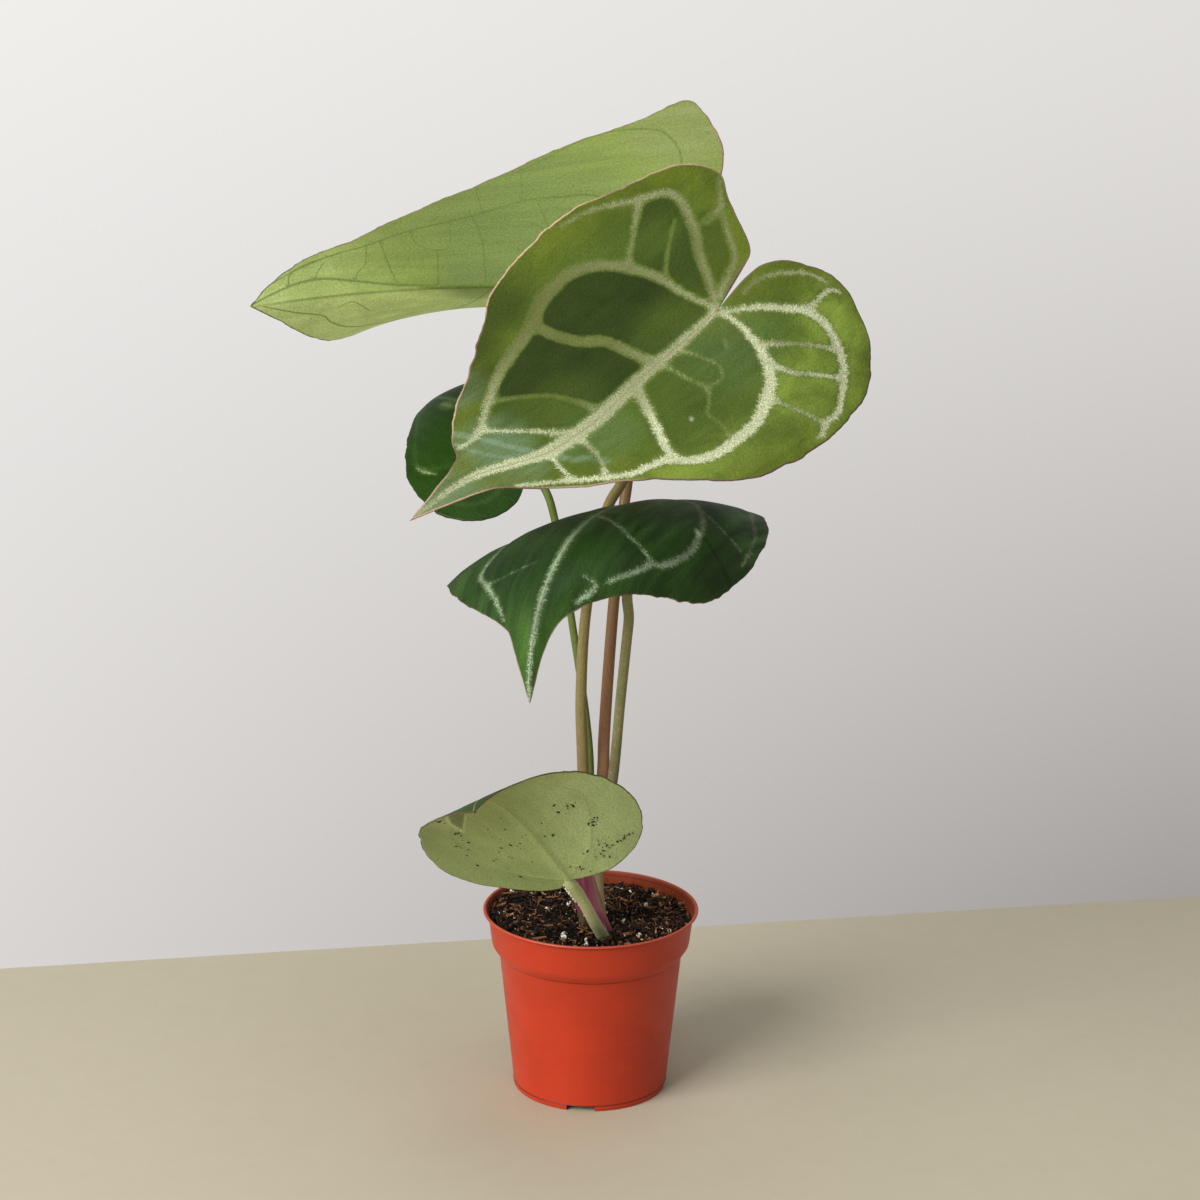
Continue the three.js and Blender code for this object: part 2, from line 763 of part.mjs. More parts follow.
const stemHoles = [];
for (const [name, petiole] of Object.entries(PETIOLES)) {
  const blade = BLADES[name];
  const end = vector(blade.at).addScaledVector(stemDirection(blade, petiole.points), PETIOLE.collar + GAP);
  const points = [...petiole.points, end.toArray()];
  const stem = largest(stemBody(points, petiole.radii).subtract(rhizomeBody(GAP)));
  stemHoles.push(stemBody(points, petiole.radii, GAP));
  plant.add(piece(`petiole_${name}`, stem, finish(petiole, PETIOLE)));
  const leaf = largest(bladeBody(blade).add(collarBody(blade, petiole)));
  plant.add(piece(`blade_${name}`, leaf, finish(blade, BLADE)));
}
const stems = wasm.Manifold.union(stemHoles);
const sheath = largest(sheathBody().subtract(stems));
plant.add(piece('sheath', sheath, finish(SHEATH, SHEATH)));
plant.add(piece('rhizome', rhizomeBody(), finish(RHIZOME, RHIZOME)));
const mix = soilBody().add(soilChips()).subtract(stems.add(rhizomeBody(GAP)));
plant.add(piece('potting_mix', clearOf(mix, sheath), finish(SOIL, SOIL)));

export default plant;
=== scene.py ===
import math
import random

import bmesh
import bpy
import numpy as np
from mathutils import Matrix, Vector, noise


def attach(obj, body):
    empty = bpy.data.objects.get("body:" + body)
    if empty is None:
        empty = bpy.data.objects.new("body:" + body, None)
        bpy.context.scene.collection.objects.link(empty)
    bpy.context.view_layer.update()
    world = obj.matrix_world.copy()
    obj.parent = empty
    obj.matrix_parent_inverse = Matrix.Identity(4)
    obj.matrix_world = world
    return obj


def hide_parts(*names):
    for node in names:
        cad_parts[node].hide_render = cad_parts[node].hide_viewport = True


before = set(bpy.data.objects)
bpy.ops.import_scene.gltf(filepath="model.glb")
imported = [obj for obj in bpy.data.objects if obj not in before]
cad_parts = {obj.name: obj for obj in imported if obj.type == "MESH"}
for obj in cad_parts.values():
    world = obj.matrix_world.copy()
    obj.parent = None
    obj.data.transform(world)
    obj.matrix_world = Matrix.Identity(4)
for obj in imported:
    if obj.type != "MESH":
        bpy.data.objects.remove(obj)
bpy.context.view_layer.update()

MM = 0.001

# ---- view ---------------------------------------------------------------------------------------
# The plant is seen from a little above the front leaf, through a long lens, so that the upright
# lines of the pot stay nearly parallel.

view_point = Vector((0, -1500, 686)) * MM
view_turn = math.radians(0.15)
view_down = math.radians(15.1)
view_roll = math.radians(0.4)

lens = bpy.data.cameras.new("view")
lens.sensor_width = 36
lens.lens = 86.1
camera = bpy.data.objects.new("view", lens)
camera.matrix_world = (
    Matrix.Translation(view_point)
    @ Matrix.Rotation(-view_turn, 4, "Z")
    @ Matrix.Rotation(math.pi / 2 - view_down, 4, "X")
    @ Matrix.Rotation(view_roll, 4, "Z")
)
bpy.context.collection.objects.link(camera)
bpy.context.scene.camera = camera
bpy.context.scene.view_settings.view_transform = "Standard"


# ---- pot ----------------------------------------------------------------------------------------
# A thin-walled nursery pot, moulded in one shot from terracotta-coloured plastic.  The profile is
# spun round the axis, the notches and drain holes are cut out, and the sharp turns are softened.

pot_profile = [
    (0, 0), (15, 0), (16.2, 3.4), (39.4, 3.4), (40.6, 0), (42.4, 0), (43, 0.6), (43.35, 3.2), (43.15, 3.6),
    (51.0, 79.2), (51.9, 79.6), (54.9, 84.2), (55.2, 85.4), (57.4, 102.6), (59.3, 102.7), (59.9, 103),
    (60, 103.4), (59.7, 103.9), (58.8, 104), (58.2, 103.7), (57.0, 101.8), (56.2, 98), (54.4, 86),
    (50.2, 80.6), (42.3, 4.6), (0, 4.6),
]
pot_sides = 144
pot_softening = 0.25 * MM
pot_floor = (4, 6)
notch_size = Vector((7.2, 15.7, 6.4)) * MM
notch_turn = math.radians(-96.7)
foot_radius = 43 * MM
drain_radius = 4 * MM
drain_at = 28 * MM
drain_sides = 24
drain_length = 20 * MM


def add_piece(name, bm, body="root"):
    """Turns a finished bmesh into a smooth-shaded piece."""
    mesh = bpy.data.meshes.new(name)
    bm.to_mesh(mesh)
    bm.free()
    mesh.shade_smooth()
    piece = bpy.data.objects.new(name, mesh)
    bpy.context.collection.objects.link(piece)
    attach(piece, body)
    return piece


def new_finish(name, roughness, specular):
    """A material with a Principled BSDF, and its tree."""
    finish = bpy.data.materials.new(name)
    finish.use_nodes = True
    skin = finish.node_tree.nodes["Principled BSDF"]
    skin.inputs["Roughness"].default_value = roughness
    skin.inputs["Specular IOR Level"].default_value = specular
    return finish, finish.node_tree


def add(tree, kind, inputs=(), **settings):
    """Adds a node, sets it up and wires the inputs that are sockets."""
    node = tree.nodes.new(kind)
    for key, value in settings.items():
        setattr(node, key, value)
    for key, value in dict(inputs).items():
        if isinstance(value, bpy.types.NodeSocket):
            tree.links.new(value, node.inputs[key])
        else:
            node.inputs[key].default_value = value
    return node


def blend(tree, factor, first, second, mode="MIX"):
    """The colour between two colours."""
    node = tree.nodes.new("ShaderNodeMix")
    node.data_type = "RGBA"
    node.blend_type = mode
    for socket, value in ((node.inputs[0], factor), (node.inputs[6], first), (node.inputs[7], second)):
        if isinstance(value, bpy.types.NodeSocket):
            tree.links.new(value, socket)
        else:
            socket.default_value = value if isinstance(value, float) else (*value, 1)
    return node.outputs[2]


def coat(tree, base, *layers):
    """A colour under more colours, each laid on through its mask."""
    for mask, colour in layers:
        base = blend(tree, mask, base, colour)
    return base


def toned(colour, by, lift=0.0):
    """A colour made darker or lighter."""
    return tuple(min(1, c * by + lift) for c in colour)


def ramp(tree, value, low, high, bottom=0.0, top=1.0, smooth=True):
    """The value carried from one range to another and held at its ends."""
    kind = "SMOOTHSTEP" if smooth else "LINEAR"
    node = add(tree, "ShaderNodeMapRange", {0: value, 1: low, 2: high, 3: bottom, 4: top},
               interpolation_type=kind, clamp=True)
    return node.outputs[0]


def maths(tree, operation, first, second=0.0):
    return add(tree, "ShaderNodeMath", {0: first, 1: second}, operation=operation).outputs[0]


def plus(tree, first, second):
    return maths(tree, "ADD", first, second)


def times(tree, first, second):
    return maths(tree, "MULTIPLY", first, second)


def mark(tree, name, output="Fac"):
    """A value that the mesh carries at each of its vertices."""
    return add(tree, "ShaderNodeAttribute", attribute_name=name).outputs[output]


def object_place(tree):
    return add(tree, "ShaderNodeTexCoord").outputs["Object"]


def stretch(tree, place, *scale):
    """A place scaled along each axis, so that the noise on it runs in streaks."""
    return add(tree, "ShaderNodeMapping", {"Vector": place, "Scale": scale}).outputs[0]


def grain(tree, place, scale, detail=3.0, roughness=0.6, distortion=0.0):
    """Noise between 0 and 1, with its mean at one half."""
    node = add(tree, "ShaderNodeTexNoise", {
        "Vector": place, "Scale": scale, "Detail": detail, "Roughness": roughness, "Distortion": distortion,
    })
    return node.outputs["Fac"]


def dress(piece, finish, colour, height, depth, roughness=None):
    """Puts a finish on a piece, with its colour and a relief that has its depth in metres."""
    tree = finish.node_tree
    skin = tree.nodes["Principled BSDF"]
    tree.links.new(colour, skin.inputs["Base Color"])
    if roughness:
        tree.links.new(roughness, skin.inputs["Roughness"])
    bump = add(tree, "ShaderNodeBump", {"Height": height, "Distance": depth, "Strength": 1.0})
    tree.links.new(bump.outputs[0], skin.inputs["Normal"])
    piece.data.materials.clear()
    piece.data.materials.append(finish)


bm = bmesh.new()
ring = [bm.verts.new(Vector((r, 0, z)) * MM) for r, z in pot_profile]
edges = [bm.edges.new(pair) for pair in zip(ring, ring[1:])]
bmesh.ops.spin(
    bm, geom=ring + edges, cent=(0, 0, 0), axis=(0, 0, 1), angle=math.tau, steps=pot_sides, use_merge=True
)
bmesh.ops.remove_doubles(bm, verts=bm.verts, dist=1e-6)
bmesh.ops.recalc_face_normals(bm, faces=bm.faces)
pot = add_piece("pot_moulded", bm)

bm = bmesh.new()
for quarter in range(4):
    turn = Matrix.Rotation(notch_turn + quarter * math.pi / 2, 4, "Z")
    notch = turn @ Matrix.Translation((foot_radius, 0, 0)) @ Matrix.Diagonal((*notch_size, 1))
    bmesh.ops.create_cube(bm, size=1, matrix=notch)
    bmesh.ops.create_cone(
        bm, segments=drain_sides, cap_ends=True, radius1=drain_radius, radius2=drain_radius,
        depth=drain_length, matrix=turn @ Matrix.Translation((drain_at, 0, 0)),
    )
cutter_mesh = bpy.data.meshes.new("pot_cutter")
bm.to_mesh(cutter_mesh)
bm.free()
cutter = bpy.data.objects.new("pot_cutter", cutter_mesh)
bpy.context.collection.objects.link(cutter)
cut = pot.modifiers.new("cut", "BOOLEAN")
cut.object = cutter
cut.operation = "DIFFERENCE"
cut.solver = "EXACT"
soften = pot.modifiers.new("soften", "BEVEL")
soften.width = pot_softening
soften.segments = 2
soften.limit_method = "ANGLE"
soften.angle_limit = math.radians(32)
depsgraph = bpy.context.evaluated_depsgraph_get()
pot_mesh = bpy.data.meshes.new_from_object(pot.evaluated_get(depsgraph))
pot.modifiers.clear()
pot.data = pot_mesh
pot_mesh.shade_smooth()
pot_mesh.set_sharp_from_angle(angle=math.radians(24))
bpy.data.objects.remove(cutter)

# The lining is every face that looks towards the axis, and the top of the floor.
spots, normals = np.empty((2, len(pot_mesh.vertices) * 3))
pot_mesh.vertices.foreach_get("co", spots)
pot_mesh.vertices.foreach_get("normal", normals)
spots, normals = spots.reshape(-1, 3) / MM, normals.reshape(-1, 3)
outwards = (spots[:, :2] * normals[:, :2]).sum(1) / np.maximum(np.hypot(spots[:, 0], spots[:, 1]), 1e-6)
on_floor = (normals[:, 2] > 0.9) & (spots[:, 2] < pot_floor[1])
lining = ((outwards < -0.3) | on_floor) & (spots[:, 2] > pot_floor[0])
pot_mesh.attributes.new("lining", "FLOAT", "POINT").data.foreach_set("value", lining.astype(np.float32))

# Satin plastic with faint flow marks, a browner and darker inside that is painted shade with light
# coming through the wall, painted shade in the creases, dust along the lip that is partly a painted
# highlight, and small scuffs.
pot_orange = (0.51, 0.040, 0.012)
pot_flow = (0.62, 0.08, 0.03)
pot_inner_shade = (0.24, 0.032, 0.003)
pot_inner_deep_shade = (0.13, 0.022, 0.003)
pot_crease_shade = (0.12, 0.012, 0.005)
pot_lip_dust_and_highlight = (0.55, 0.17, 0.11)
pot_scuff = (0.36, 0.06, 0.03)
crease_heights = [(0.0786, 0.0799), (0.1012, 0.1030), (0.0026, 0.0040)]
lip_heights = (0.1030, 0.1038)

finish, tree = new_finish("pot_plastic", 0.42, 0.3)
place = object_place(tree)
height = add(tree, "ShaderNodeSeparateXYZ", {0: place}).outputs[2]
inside = mark(tree, "lining")
cloud = grain(tree, place, 26, 4)
flow = grain(tree, stretch(tree, place, 60, 60, 900), 1, 3)
scuffs = grain(tree, stretch(tree, place, 120, 120, 700), 1, 2, 0.5)
dust_and_highlight = ramp(tree, ramp(tree, grain(tree, place, 900, 2, 0.5), 0.62, 0.7), 0, 1, 0.3, 0.85)
base = coat(
    tree, pot_orange,
    (ramp(tree, cloud, 0.3, 0.75), toned(pot_orange, 0.86)),
    (ramp(tree, flow, 0.52, 0.85, 0.0, 0.22), pot_flow),
    # Painted shade: the inner wall is coloured a darker, browner orange.
    (inside, blend(tree, cloud, pot_inner_shade, pot_inner_deep_shade)),
)
# Painted shade: a thin dark line along each crease, under the band, under the lip and near the foot.
for bottom, top in crease_heights:
    halfway = (bottom + top) / 2
    crease_shade = times(tree, ramp(tree, height, bottom, halfway), ramp(tree, height, top, halfway))
    base = blend(tree, times(tree, crease_shade, 0.9), base, pot_crease_shade)
base = coat(
    tree, base,
    # Dust that is partly a painted highlight: the top of the lip is paled in specks.
    (times(tree, ramp(tree, height, *lip_heights), dust_and_highlight), pot_lip_dust_and_highlight),
    (ramp(tree, scuffs, 0.7, 0.78, 0.0, 0.3), pot_scuff),
)
rough = plus(tree, ramp(tree, cloud, 0.3, 0.8, 0.36, 0.52), ramp(tree, inside, 0, 1, 0, 0.4))
tiny = plus(tree, flow, times(tree, grain(tree, place, 1500, 2), 0.6))
dress(pot, finish, base, tiny, 0.00004, rough)
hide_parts("pot")


# ---- potting mix --------------------------------------------------------------------------------
# Damp peat with shreds of bark, root fibres and crumbs of white perlite.  The bed is a disc that
# dips and rises, and the loose bits are scattered over it by a seeded rule.

mix_level = 94 * MM
mix_waves = [(310, 270, 1.3, 0.4), (310, -270, 2.5, 0.4), (130, -190, 0, 0.5), (550, 470, 1.6, 0.4)]
mix_radius = 56.0 * MM
mix_sides = 96
mix_rings = 27
mix_ring_width = 2 * MM
crown = Vector((3, -11, 0)) * MM
crown_radius = 9 * MM
bark_bits, fibre_bits, perlite_bits = 2300, 330, 78
chance = random.Random(7)
noise.seed_set(7)


def mix_height(x, y):
    waves = sum(h * math.sin(i * x + j * y + phase) for i, j, phase, h in mix_waves)
    mound = 3.0 * math.exp(-(((x + 8 * MM) / (14 * MM)) ** 2 + ((y + 24 * MM) / (12 * MM)) ** 2))
    heap = 2.8 + 4.2 * max(0, -x) / mix_radius + 0.8 * max(0, y) / mix_radius + mound
    return mix_level + (waves + heap) * MM


def bit_spot():
    """A spot on the bed that is clear of the crown."""
    while True:
        away = mix_radius * math.sqrt(chance.random())
        turn = chance.uniform(0, math.tau)
        spot = Vector((away * math.cos(turn), away * math.sin(turn), 0))
        if (spot - crown).length > crown_radius:
            spot.z = mix_height(spot.x, spot.y)
            return spot


def loose_lie(tilt, low, high=None):
    """A spot on the bed, raised by some millimetres, with a turn that lies nearly flat."""
    spot = bit_spot() + Vector((0, 0, (chance.uniform(low, high) if high else low) * MM))
    turn = (
        Matrix.Rotation(chance.uniform(0, math.tau), 4, "Z")
        @ Matrix.Rotation(chance.gauss(0, tilt), 4, "Y")
        @ Matrix.Rotation(chance.uniform(0, math.tau), 4, "X")
    )
    return Matrix.Translation(spot) @ turn


def keep_in_pot(bm):
    """Draws in whatever pokes through the wall."""
    for v in bm.verts:
        away = math.hypot(v.co.x, v.co.y)
        if away > mix_radius:
            v.co.x, v.co.y = v.co.x * mix_radius / away, v.co.y * mix_radius / away


def add_crumb(bm, size, lie, fineness, pitch, dents):
    """A dented ball.  Pitch is how close the dents are, and dents their depth as a share of its size."""
    crumb = bmesh.ops.create_icosphere(bm, subdivisions=fineness, radius=size, matrix=lie)
    for v in crumb["verts"]:
        v.co += noise.noise_vector(v.co * pitch) * size * dents


bm = bmesh.new()
bmesh.ops.create_circle(bm, cap_ends=True, radius=mix_radius, segments=mix_sides)
for i in range(mix_rings):
    centre = max(bm.faces, key=lambda f: len(f.verts))
    bmesh.ops.inset_region(bm, faces=[centre], thickness=mix_ring_width)
bmesh.ops.triangulate(bm, faces=[f for f in bm.faces if len(f.verts) > 4])
for v in bm.verts:
    lump = noise.noise(v.co * 420) * 1.1 + noise.noise(v.co * 1100) * 0.6
    v.co.z = mix_height(v.co.x, v.co.y) + (lump - 0.9) * MM
bed = add_piece("mix_bed", bm)

bm = bmesh.new()
tint = bm.verts.layers.float.new("tint")
lying = Matrix.Rotation(math.pi / 2, 4, "Y")
for i in range(bark_bits):
    length = chance.uniform(1.4, 5.0) * MM * (1 if chance.random() < 0.85 else 2.0)
    width = chance.uniform(0.45, 1.6) * MM
    lie = loose_lie(0.45, -0.6, 1.5) @ lying @ Matrix.Diagonal((0.5, 1, 1, 1))
    bit = bmesh.ops.create_cone(
        bm, segments=4, cap_ends=True, radius1=width * 0.6, radius2=width * chance.uniform(0.2, 0.6),
        depth=length, matrix=lie,
    )
    shade = chance.random()
    for v in bit["verts"]:
        v[tint] = shade
        v.co += noise.noise_vector(v.co * 700) * 0.5 * MM
keep_in_pot(bm)
bark = add_piece("mix_bark", bm)
bark.data.shade_flat()

bm = bmesh.new()
tint = bm.verts.layers.float.new("tint")
for i in range(fibre_bits):
    lie = loose_lie(0.3, 0.2, 1.8) @ lying
    thread = bmesh.ops.create_circle(bm, segments=4, radius=chance.uniform(0.08, 0.2) * MM, cap_ends=True)
    bend = Matrix.Rotation(chance.uniform(-0.45, 0.45), 4, "Y")
    step = Matrix.Translation((0, 0, chance.uniform(0.5, 1.9) * MM)) @ bend
    every = list(thread["verts"])
    cap = next(f for f in every[0].link_faces)
    reach = Matrix.Identity(4)
    for joint in range(4):
        grown = bmesh.ops.extrude_face_region(bm, geom=[cap])["geom"]
        cap = next(g for g in grown if isinstance(g, bmesh.types.BMFace))
        tip = [g for g in grown if isinstance(g, bmesh.types.BMVert)]
        bmesh.ops.transform(bm, matrix=reach @ step @ reach.inverted(), verts=tip)
        reach = reach @ step
        every += tip
    bmesh.ops.transform(bm, matrix=lie, verts=every)
    shade = chance.random()
    for v in every:
        v[tint] = shade
bmesh.ops.recalc_face_normals(bm, faces=bm.faces)
keep_in_pot(bm)
fibres = add_piece("mix_fibres", bm)

bm = bmesh.new()
for i in range(perlite_bits):
    size = (0.3 + 1.3 * chance.random() ** 2.2) * MM
    lie = loose_lie(1.0, 0.8)
    flatten = Matrix.Diagonal((chance.uniform(1, 1.5), chance.uniform(0.5, 1), 0.6, 1))
    add_crumb(bm, size, lie @ flatten, 2, 1100, 0.7)
keep_in_pot(bm)
perlite = add_piece("mix_perlite", bm)

finish, tree = new_finish("mix_peat", 0.9, 0.15)
lumps = grain(tree, object_place(tree), 700, 5, 0.7)
base = blend(tree, ramp(tree, lumps, 0.4, 0.8), (0.004, 0.003, 0.002), (0.045, 0.023, 0.012))
dress(bed, finish, base, lumps, 0.0012)

finish, tree = new_finish("mix_bark_bits", 0.75, 0.25)
place, shade = object_place(tree), mark(tree, "tint")
base = coat(
    tree, (0.006, 0.004, 0.003),
    (ramp(tree, shade, 0.3, 0.75), (0.060, 0.028, 0.012)),
    (ramp(tree, shade, 0.76, 0.93), (0.32, 0.140, 0.052)),
    (ramp(tree, shade, 0.962, 0.97), (0.66, 0.36, 0.14)),
    (ramp(tree, grain(tree, place, 2200, 3), 0.35, 0.8, 0, 0.7), (0.008, 0.005, 0.003)),
)
dress(bark, finish, base, grain(tree, place, 1800, 3), 0.0003)

finish, tree = new_finish("mix_fibre_bits", 0.6, 0.4)
place, shade = object_place(tree), mark(tree, "tint")
base = coat(
    tree, (0.05, 0.022, 0.010),
    (ramp(tree, shade, 0.3, 0.9), (0.46, 0.21, 0.08)),
    (ramp(tree, grain(tree, place, 900, 2), 0.4, 0.8, 0, 0.6), (0.05, 0.02, 0.01)),
)
dress(fibres, finish, base, grain(tree, place, 2500, 2), 0.0001)

white_bits, tree = new_finish("mix_perlite_bits", 0.8, 0.4)
pits = grain(tree, object_place(tree), 1600, 4, 0.7)
base = blend(tree, ramp(tree, pits, 0.35, 0.55), (0.42, 0.36, 0.24), (0.92, 0.90, 0.84))
dress(perlite, white_bits, base, pits, 0.0005)

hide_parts("potting_mix")


# ---- petioles -----------------------------------------------------------------------------------
# The leaf stalks: firm round stems, a little thicker at the crown and again at the joint below the
# blade.  They rise together from the crown, and each has a colour of its own with fine streaks; on
# the middle and low stalks part of that colour is painted light and shade.

petiole_sides = 28
petiole_rings = 110
petiole_tip = 6
petiole_joint = 9
petioles = {
    "front": {
        "radii": [3.4, 3.1, 2.9, 2.9, 3.2],
        "points": [
            (-2, -11.5, 81), (-4.4, -14, 130), (-4.7, -19, 191), (-6, -23, 232), (-3, -30, 287),
            (7.7, -42, 343), (14.8, -47, 357), (34, -57, 399), (62.3, -69.1, 451.8),
        ],
        "colours": [(0.05, 0.03, 0.018), (0.27, 0.205, 0.083), (0.30, 0.25, 0.097)],
        "colour_at": [0.085, 0.12, 0.25, 0.45],
    },
    "back": {
        "radii": [3.5, 3.2, 3.1, 3.1, 3.4],
        "points": [
            (4.5, -4, 81), (0.5, -9, 129), (6.2, -12, 188), (6.6, -10, 205), (11.5, -3, 282),
            (16.5, 6, 332), (18.1, 9, 344), (23.5, 19, 392), (31.2, 33.4, 444.4),
        ],
        "colours": [(0.26, 0.120, 0.080), (0.30, 0.150, 0.075), (0.170, 0.112, 0.045)],
        "colour_at": [0.03, 0.12, 0.42, 0.56],
    },
    # Painted light and shade: the pink foot and the olive above it are painted lighter where the low leaf shades
    # them, and the dark olive further up is painted shade.
    "middle": {
        "radii": [3.2, 2.9, 2.7, 2.8, 3.1],
        "points": [
            (8, -11.5, 81), (3.8, -17, 132), (11.6, -25, 189), (15.1, -36, 235), (18.1, -50, 274),
            (18.9, -56, 287), (17.8, -62, 300), (19.5, -70, 325), (24.2, -79.8, 352.9),
        ],
        "colours": [(0.46, 0.17, 0.20), (0.50, 0.40, 0.22), (0.125, 0.117, 0.052), (0.200, 0.218, 0.078)],
        "colour_at": [0.03, 0.09, 0.11, 0.24, 0.40, 0.52],
    },
    "small": {
        "radii": [2.6, 2.3, 2.1, 2.1, 2.3],
        "points": [
            (-4, -3.5, 81), (-5.5, -3, 127), (-0.9, -3, 186), (-11.8, 6, 271), (-20.4, 12, 321),
            (-25.7, 15, 338), (-36, 25, 349), (-43.1, 24, 361.7),
        ],
        "colours": [(0.05, 0.03, 0.018), (0.16, 0.20, 0.05), (0.12, 0.16, 0.03), (0.11, 0.165, 0.025)],
        "colour_at": [0.06, 0.10, 0.12, 0.45, 0.55, 0.95],
    },
    # Painted light: the middle of the low stalk is painted lighter where the low leaf shades it.
    "low": {
        "radii": [3.2, 3.3, 3, 3.1],
        "points": [(7.4, -19.5, 81), (7.2, -27, 95), (1.7, -42, 112), (-5, -58, 131), (-12.7, -73.2, 148.1)],
        "colours": [(0.42, 0.42, 0.28), (0.55, 0.58, 0.31), (0.46, 0.54, 0.23)],
        "colour_at": [0.05, 0.45, 0.55, 0.95],
    },
}


def smooth_path(points, steps):
    """Evenly spaced points of a smooth curve through points, and how far along each is."""
    p = np.array(points, float)
    p = np.vstack([2 * p[0] - p[1], p, 2 * p[-1] - p[-2]])
    fine = []
    for p0, p1, p2, p3 in zip(p, p[1:], p[2:], p[3:]):
        d0, d1, d2 = (math.sqrt(np.linalg.norm(q - r)) for q, r in ((p0, p1), (p1, p2), (p2, p3)))
        m1 = ((p1 - p0) / d0 - (p2 - p0) / (d0 + d1) + (p2 - p1) / d1) * d1
        m2 = ((p2 - p1) / d1 - (p3 - p1) / (d1 + d2) + (p3 - p2) / d2) * d1
        t = np.linspace(0, 1, 40, endpoint=False)[:, None]
        fine.append((2 * t**3 - 3 * t**2 + 1) * p1 + (t**3 - 2 * t**2 + t) * m1
                    + (3 * t**2 - 2 * t**3) * p2 + (t**3 - t**2) * m2)
    fine = np.vstack([*fine, p[-2:-1]])
    far = np.concatenate([[0], np.cumsum(np.linalg.norm(np.diff(fine, axis=0), axis=1))])
    even = np.linspace(0, far[-1], steps + 1)
    return np.stack([np.interp(even, far, fine[:, k]) for k in range(3)], axis=1), even


def stem_piece(name, points, radii):
    """A capped tube along a path: a long cylinder cut into rings, each set on the path."""
    centres, far = smooth_path(points, petiole_rings)
    bm = bmesh.new()
    bmesh.ops.create_cone(bm, cap_ends=True, segments=petiole_sides, radius1=1, radius2=1, depth=1)
    long_edges = [e for e in bm.edges if abs(e.verts[0].co.z - e.verts[1].co.z) > 0.5]
    bmesh.ops.subdivide_edges(bm, edges=long_edges, cuts=petiole_rings - 1, use_grid_fill=True)
    frames = []
    side = Vector((1, 0, 0))
    for i in range(len(centres)):
        ahead = Vector(centres[min(i + 1, petiole_rings)] - centres[max(i - 1, 0)]).normalized()
        side = (side - ahead * side.dot(ahead)).normalized()
        frames.append((side.copy(), ahead.cross(side)))
    along = bm.verts.layers.float.new("along")
    around = bm.verts.layers.float_vector.new("around")
    stem_end = far[-1] - petiole_tip
    for v in bm.verts:
        ring = round((v.co.z + 0.5) * petiole_rings)
        past = far[ring] - stem_end
        radius = np.interp(far[ring] / stem_end, np.linspace(0, 1, len(radii)), radii)
        radius *= 1 + 0.1 * math.exp(-(((past + petiole_tip) / petiole_joint) ** 2))
        if past > 0:
            radius *= 1 - 0.62 * (past / petiole_tip) ** 1.5
        first, second = frames[ring]
        turn = math.atan2(v.co.y, v.co.x)
        wobble = 1 + 0.035 * math.sin(2 * turn + far[ring] * 0.02) + 0.02 * math.sin(5 * turn)
        spot = Vector(centres[ring]) + (first * v.co.x + second * v.co.y) * radius * wobble
        v[along] = far[ring] / far[-1]
        v[around] = (v.co.x, v.co.y, far[ring] * 0.1)
        v.co = spot * MM
    bmesh.ops.recalc_face_normals(bm, faces=bm.faces)
    return add_piece(name, bm)


def dress_stem(stem, name, colours, colour_at):
    """Skin of a stalk: its colours from foot to top, streaks, mottling, freckles and a soft gloss."""
    finish, tree = new_finish(name, 0.45, 0.25)
    along = mark(tree, "along")
    place = object_place(tree)
    streak = grain(tree, stretch(tree, mark(tree, "around", "Vector"), 5, 5, 0.25), 1.6, 4, 0.65)
    mottle = grain(tree, place, 620, 4, 0.7)
    blotch = grain(tree, place, 90, 3)
    body = colours[1]
    changes = [
        (ramp(tree, along, low, high), colour)
        for low, high, colour in zip(colour_at[::2], colour_at[1::2], colours[1:])
    ]
    base = coat(
        tree, colours[0], *changes,
        (ramp(tree, streak, 0.4, 0.75, 0.0, 0.35), toned(body, 0.5)),
        (ramp(tree, streak, 0.45, 0.25, 0.0, 0.5), toned(body, 1.35, 0.01)),
        (ramp(tree, mottle, 0.48, 0.72, 0, 0.4), toned(body, 0.55)),
        (ramp(tree, mottle, 0.5, 0.3, 0, 0.35), toned(body, 1.3, 0.01)),
        (ramp(tree, grain(tree, place, 1500, 2), 0.6, 0.7, 0, 0.5), toned(colours[0], 0.35)),
        (ramp(tree, blotch, 0.4, 0.75, 0, 0.35), toned(body, 0.7)),
    )
    dress(stem, finish, base, streak, 0.00012, ramp(tree, streak, 0.3, 0.7, 0.39, 0.57))


for name, petiole in petioles.items():
    stem = stem_piece(f"stalk_{name}", petiole["points"], petiole["radii"])
    dress_stem(stem, f"stalk_skin_{name}", petiole["colours"], petiole["colour_at"])
    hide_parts(f"petiole_{name}")


# ---- crown --------------------------------------------------------------------------------------
# The short buried stem that every stalk grows from.  It keeps its plain shape under the mix and is
# coloured corky brown.

finish, tree = new_finish("crown_cork", 0.85, 0.3)
cork = grain(tree, object_place(tree), 500, 5, 0.7)
base = blend(tree, cork, (0.030, 0.016, 0.009), (0.12, 0.065, 0.035))
dress(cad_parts["rhizome"], finish, base, cork, 0.0008)


# ---- sheath -------------------------------------------------------------------------------------
# A papery wine-purple scale that wraps the front of the crown.  It is one thin bent sheet, cut away
# low on its left and paler towards its upper right edge.

sheath_axis = [(5, -14, 84), (0, -11, 108), (-5, -13, 138)]
sheath_radii = (11.8, 10, 8)
sheath_from = (188, 196, 225)
sheath_to = (372, 292, 312)
sheath_cut = 92
sheath_cut_at = (0.52, 0.38)
sheath_thickness = 0.7
sheath_steps = 60


def draw3(u, values):
    """A smooth run from the first value to the last, drawn towards the middle one."""
    first, middle, last = (np.asarray(v, float) for v in values)
    return (1 - u) ** 2 * first + 2 * u * (1 - u) * middle + u * u * last


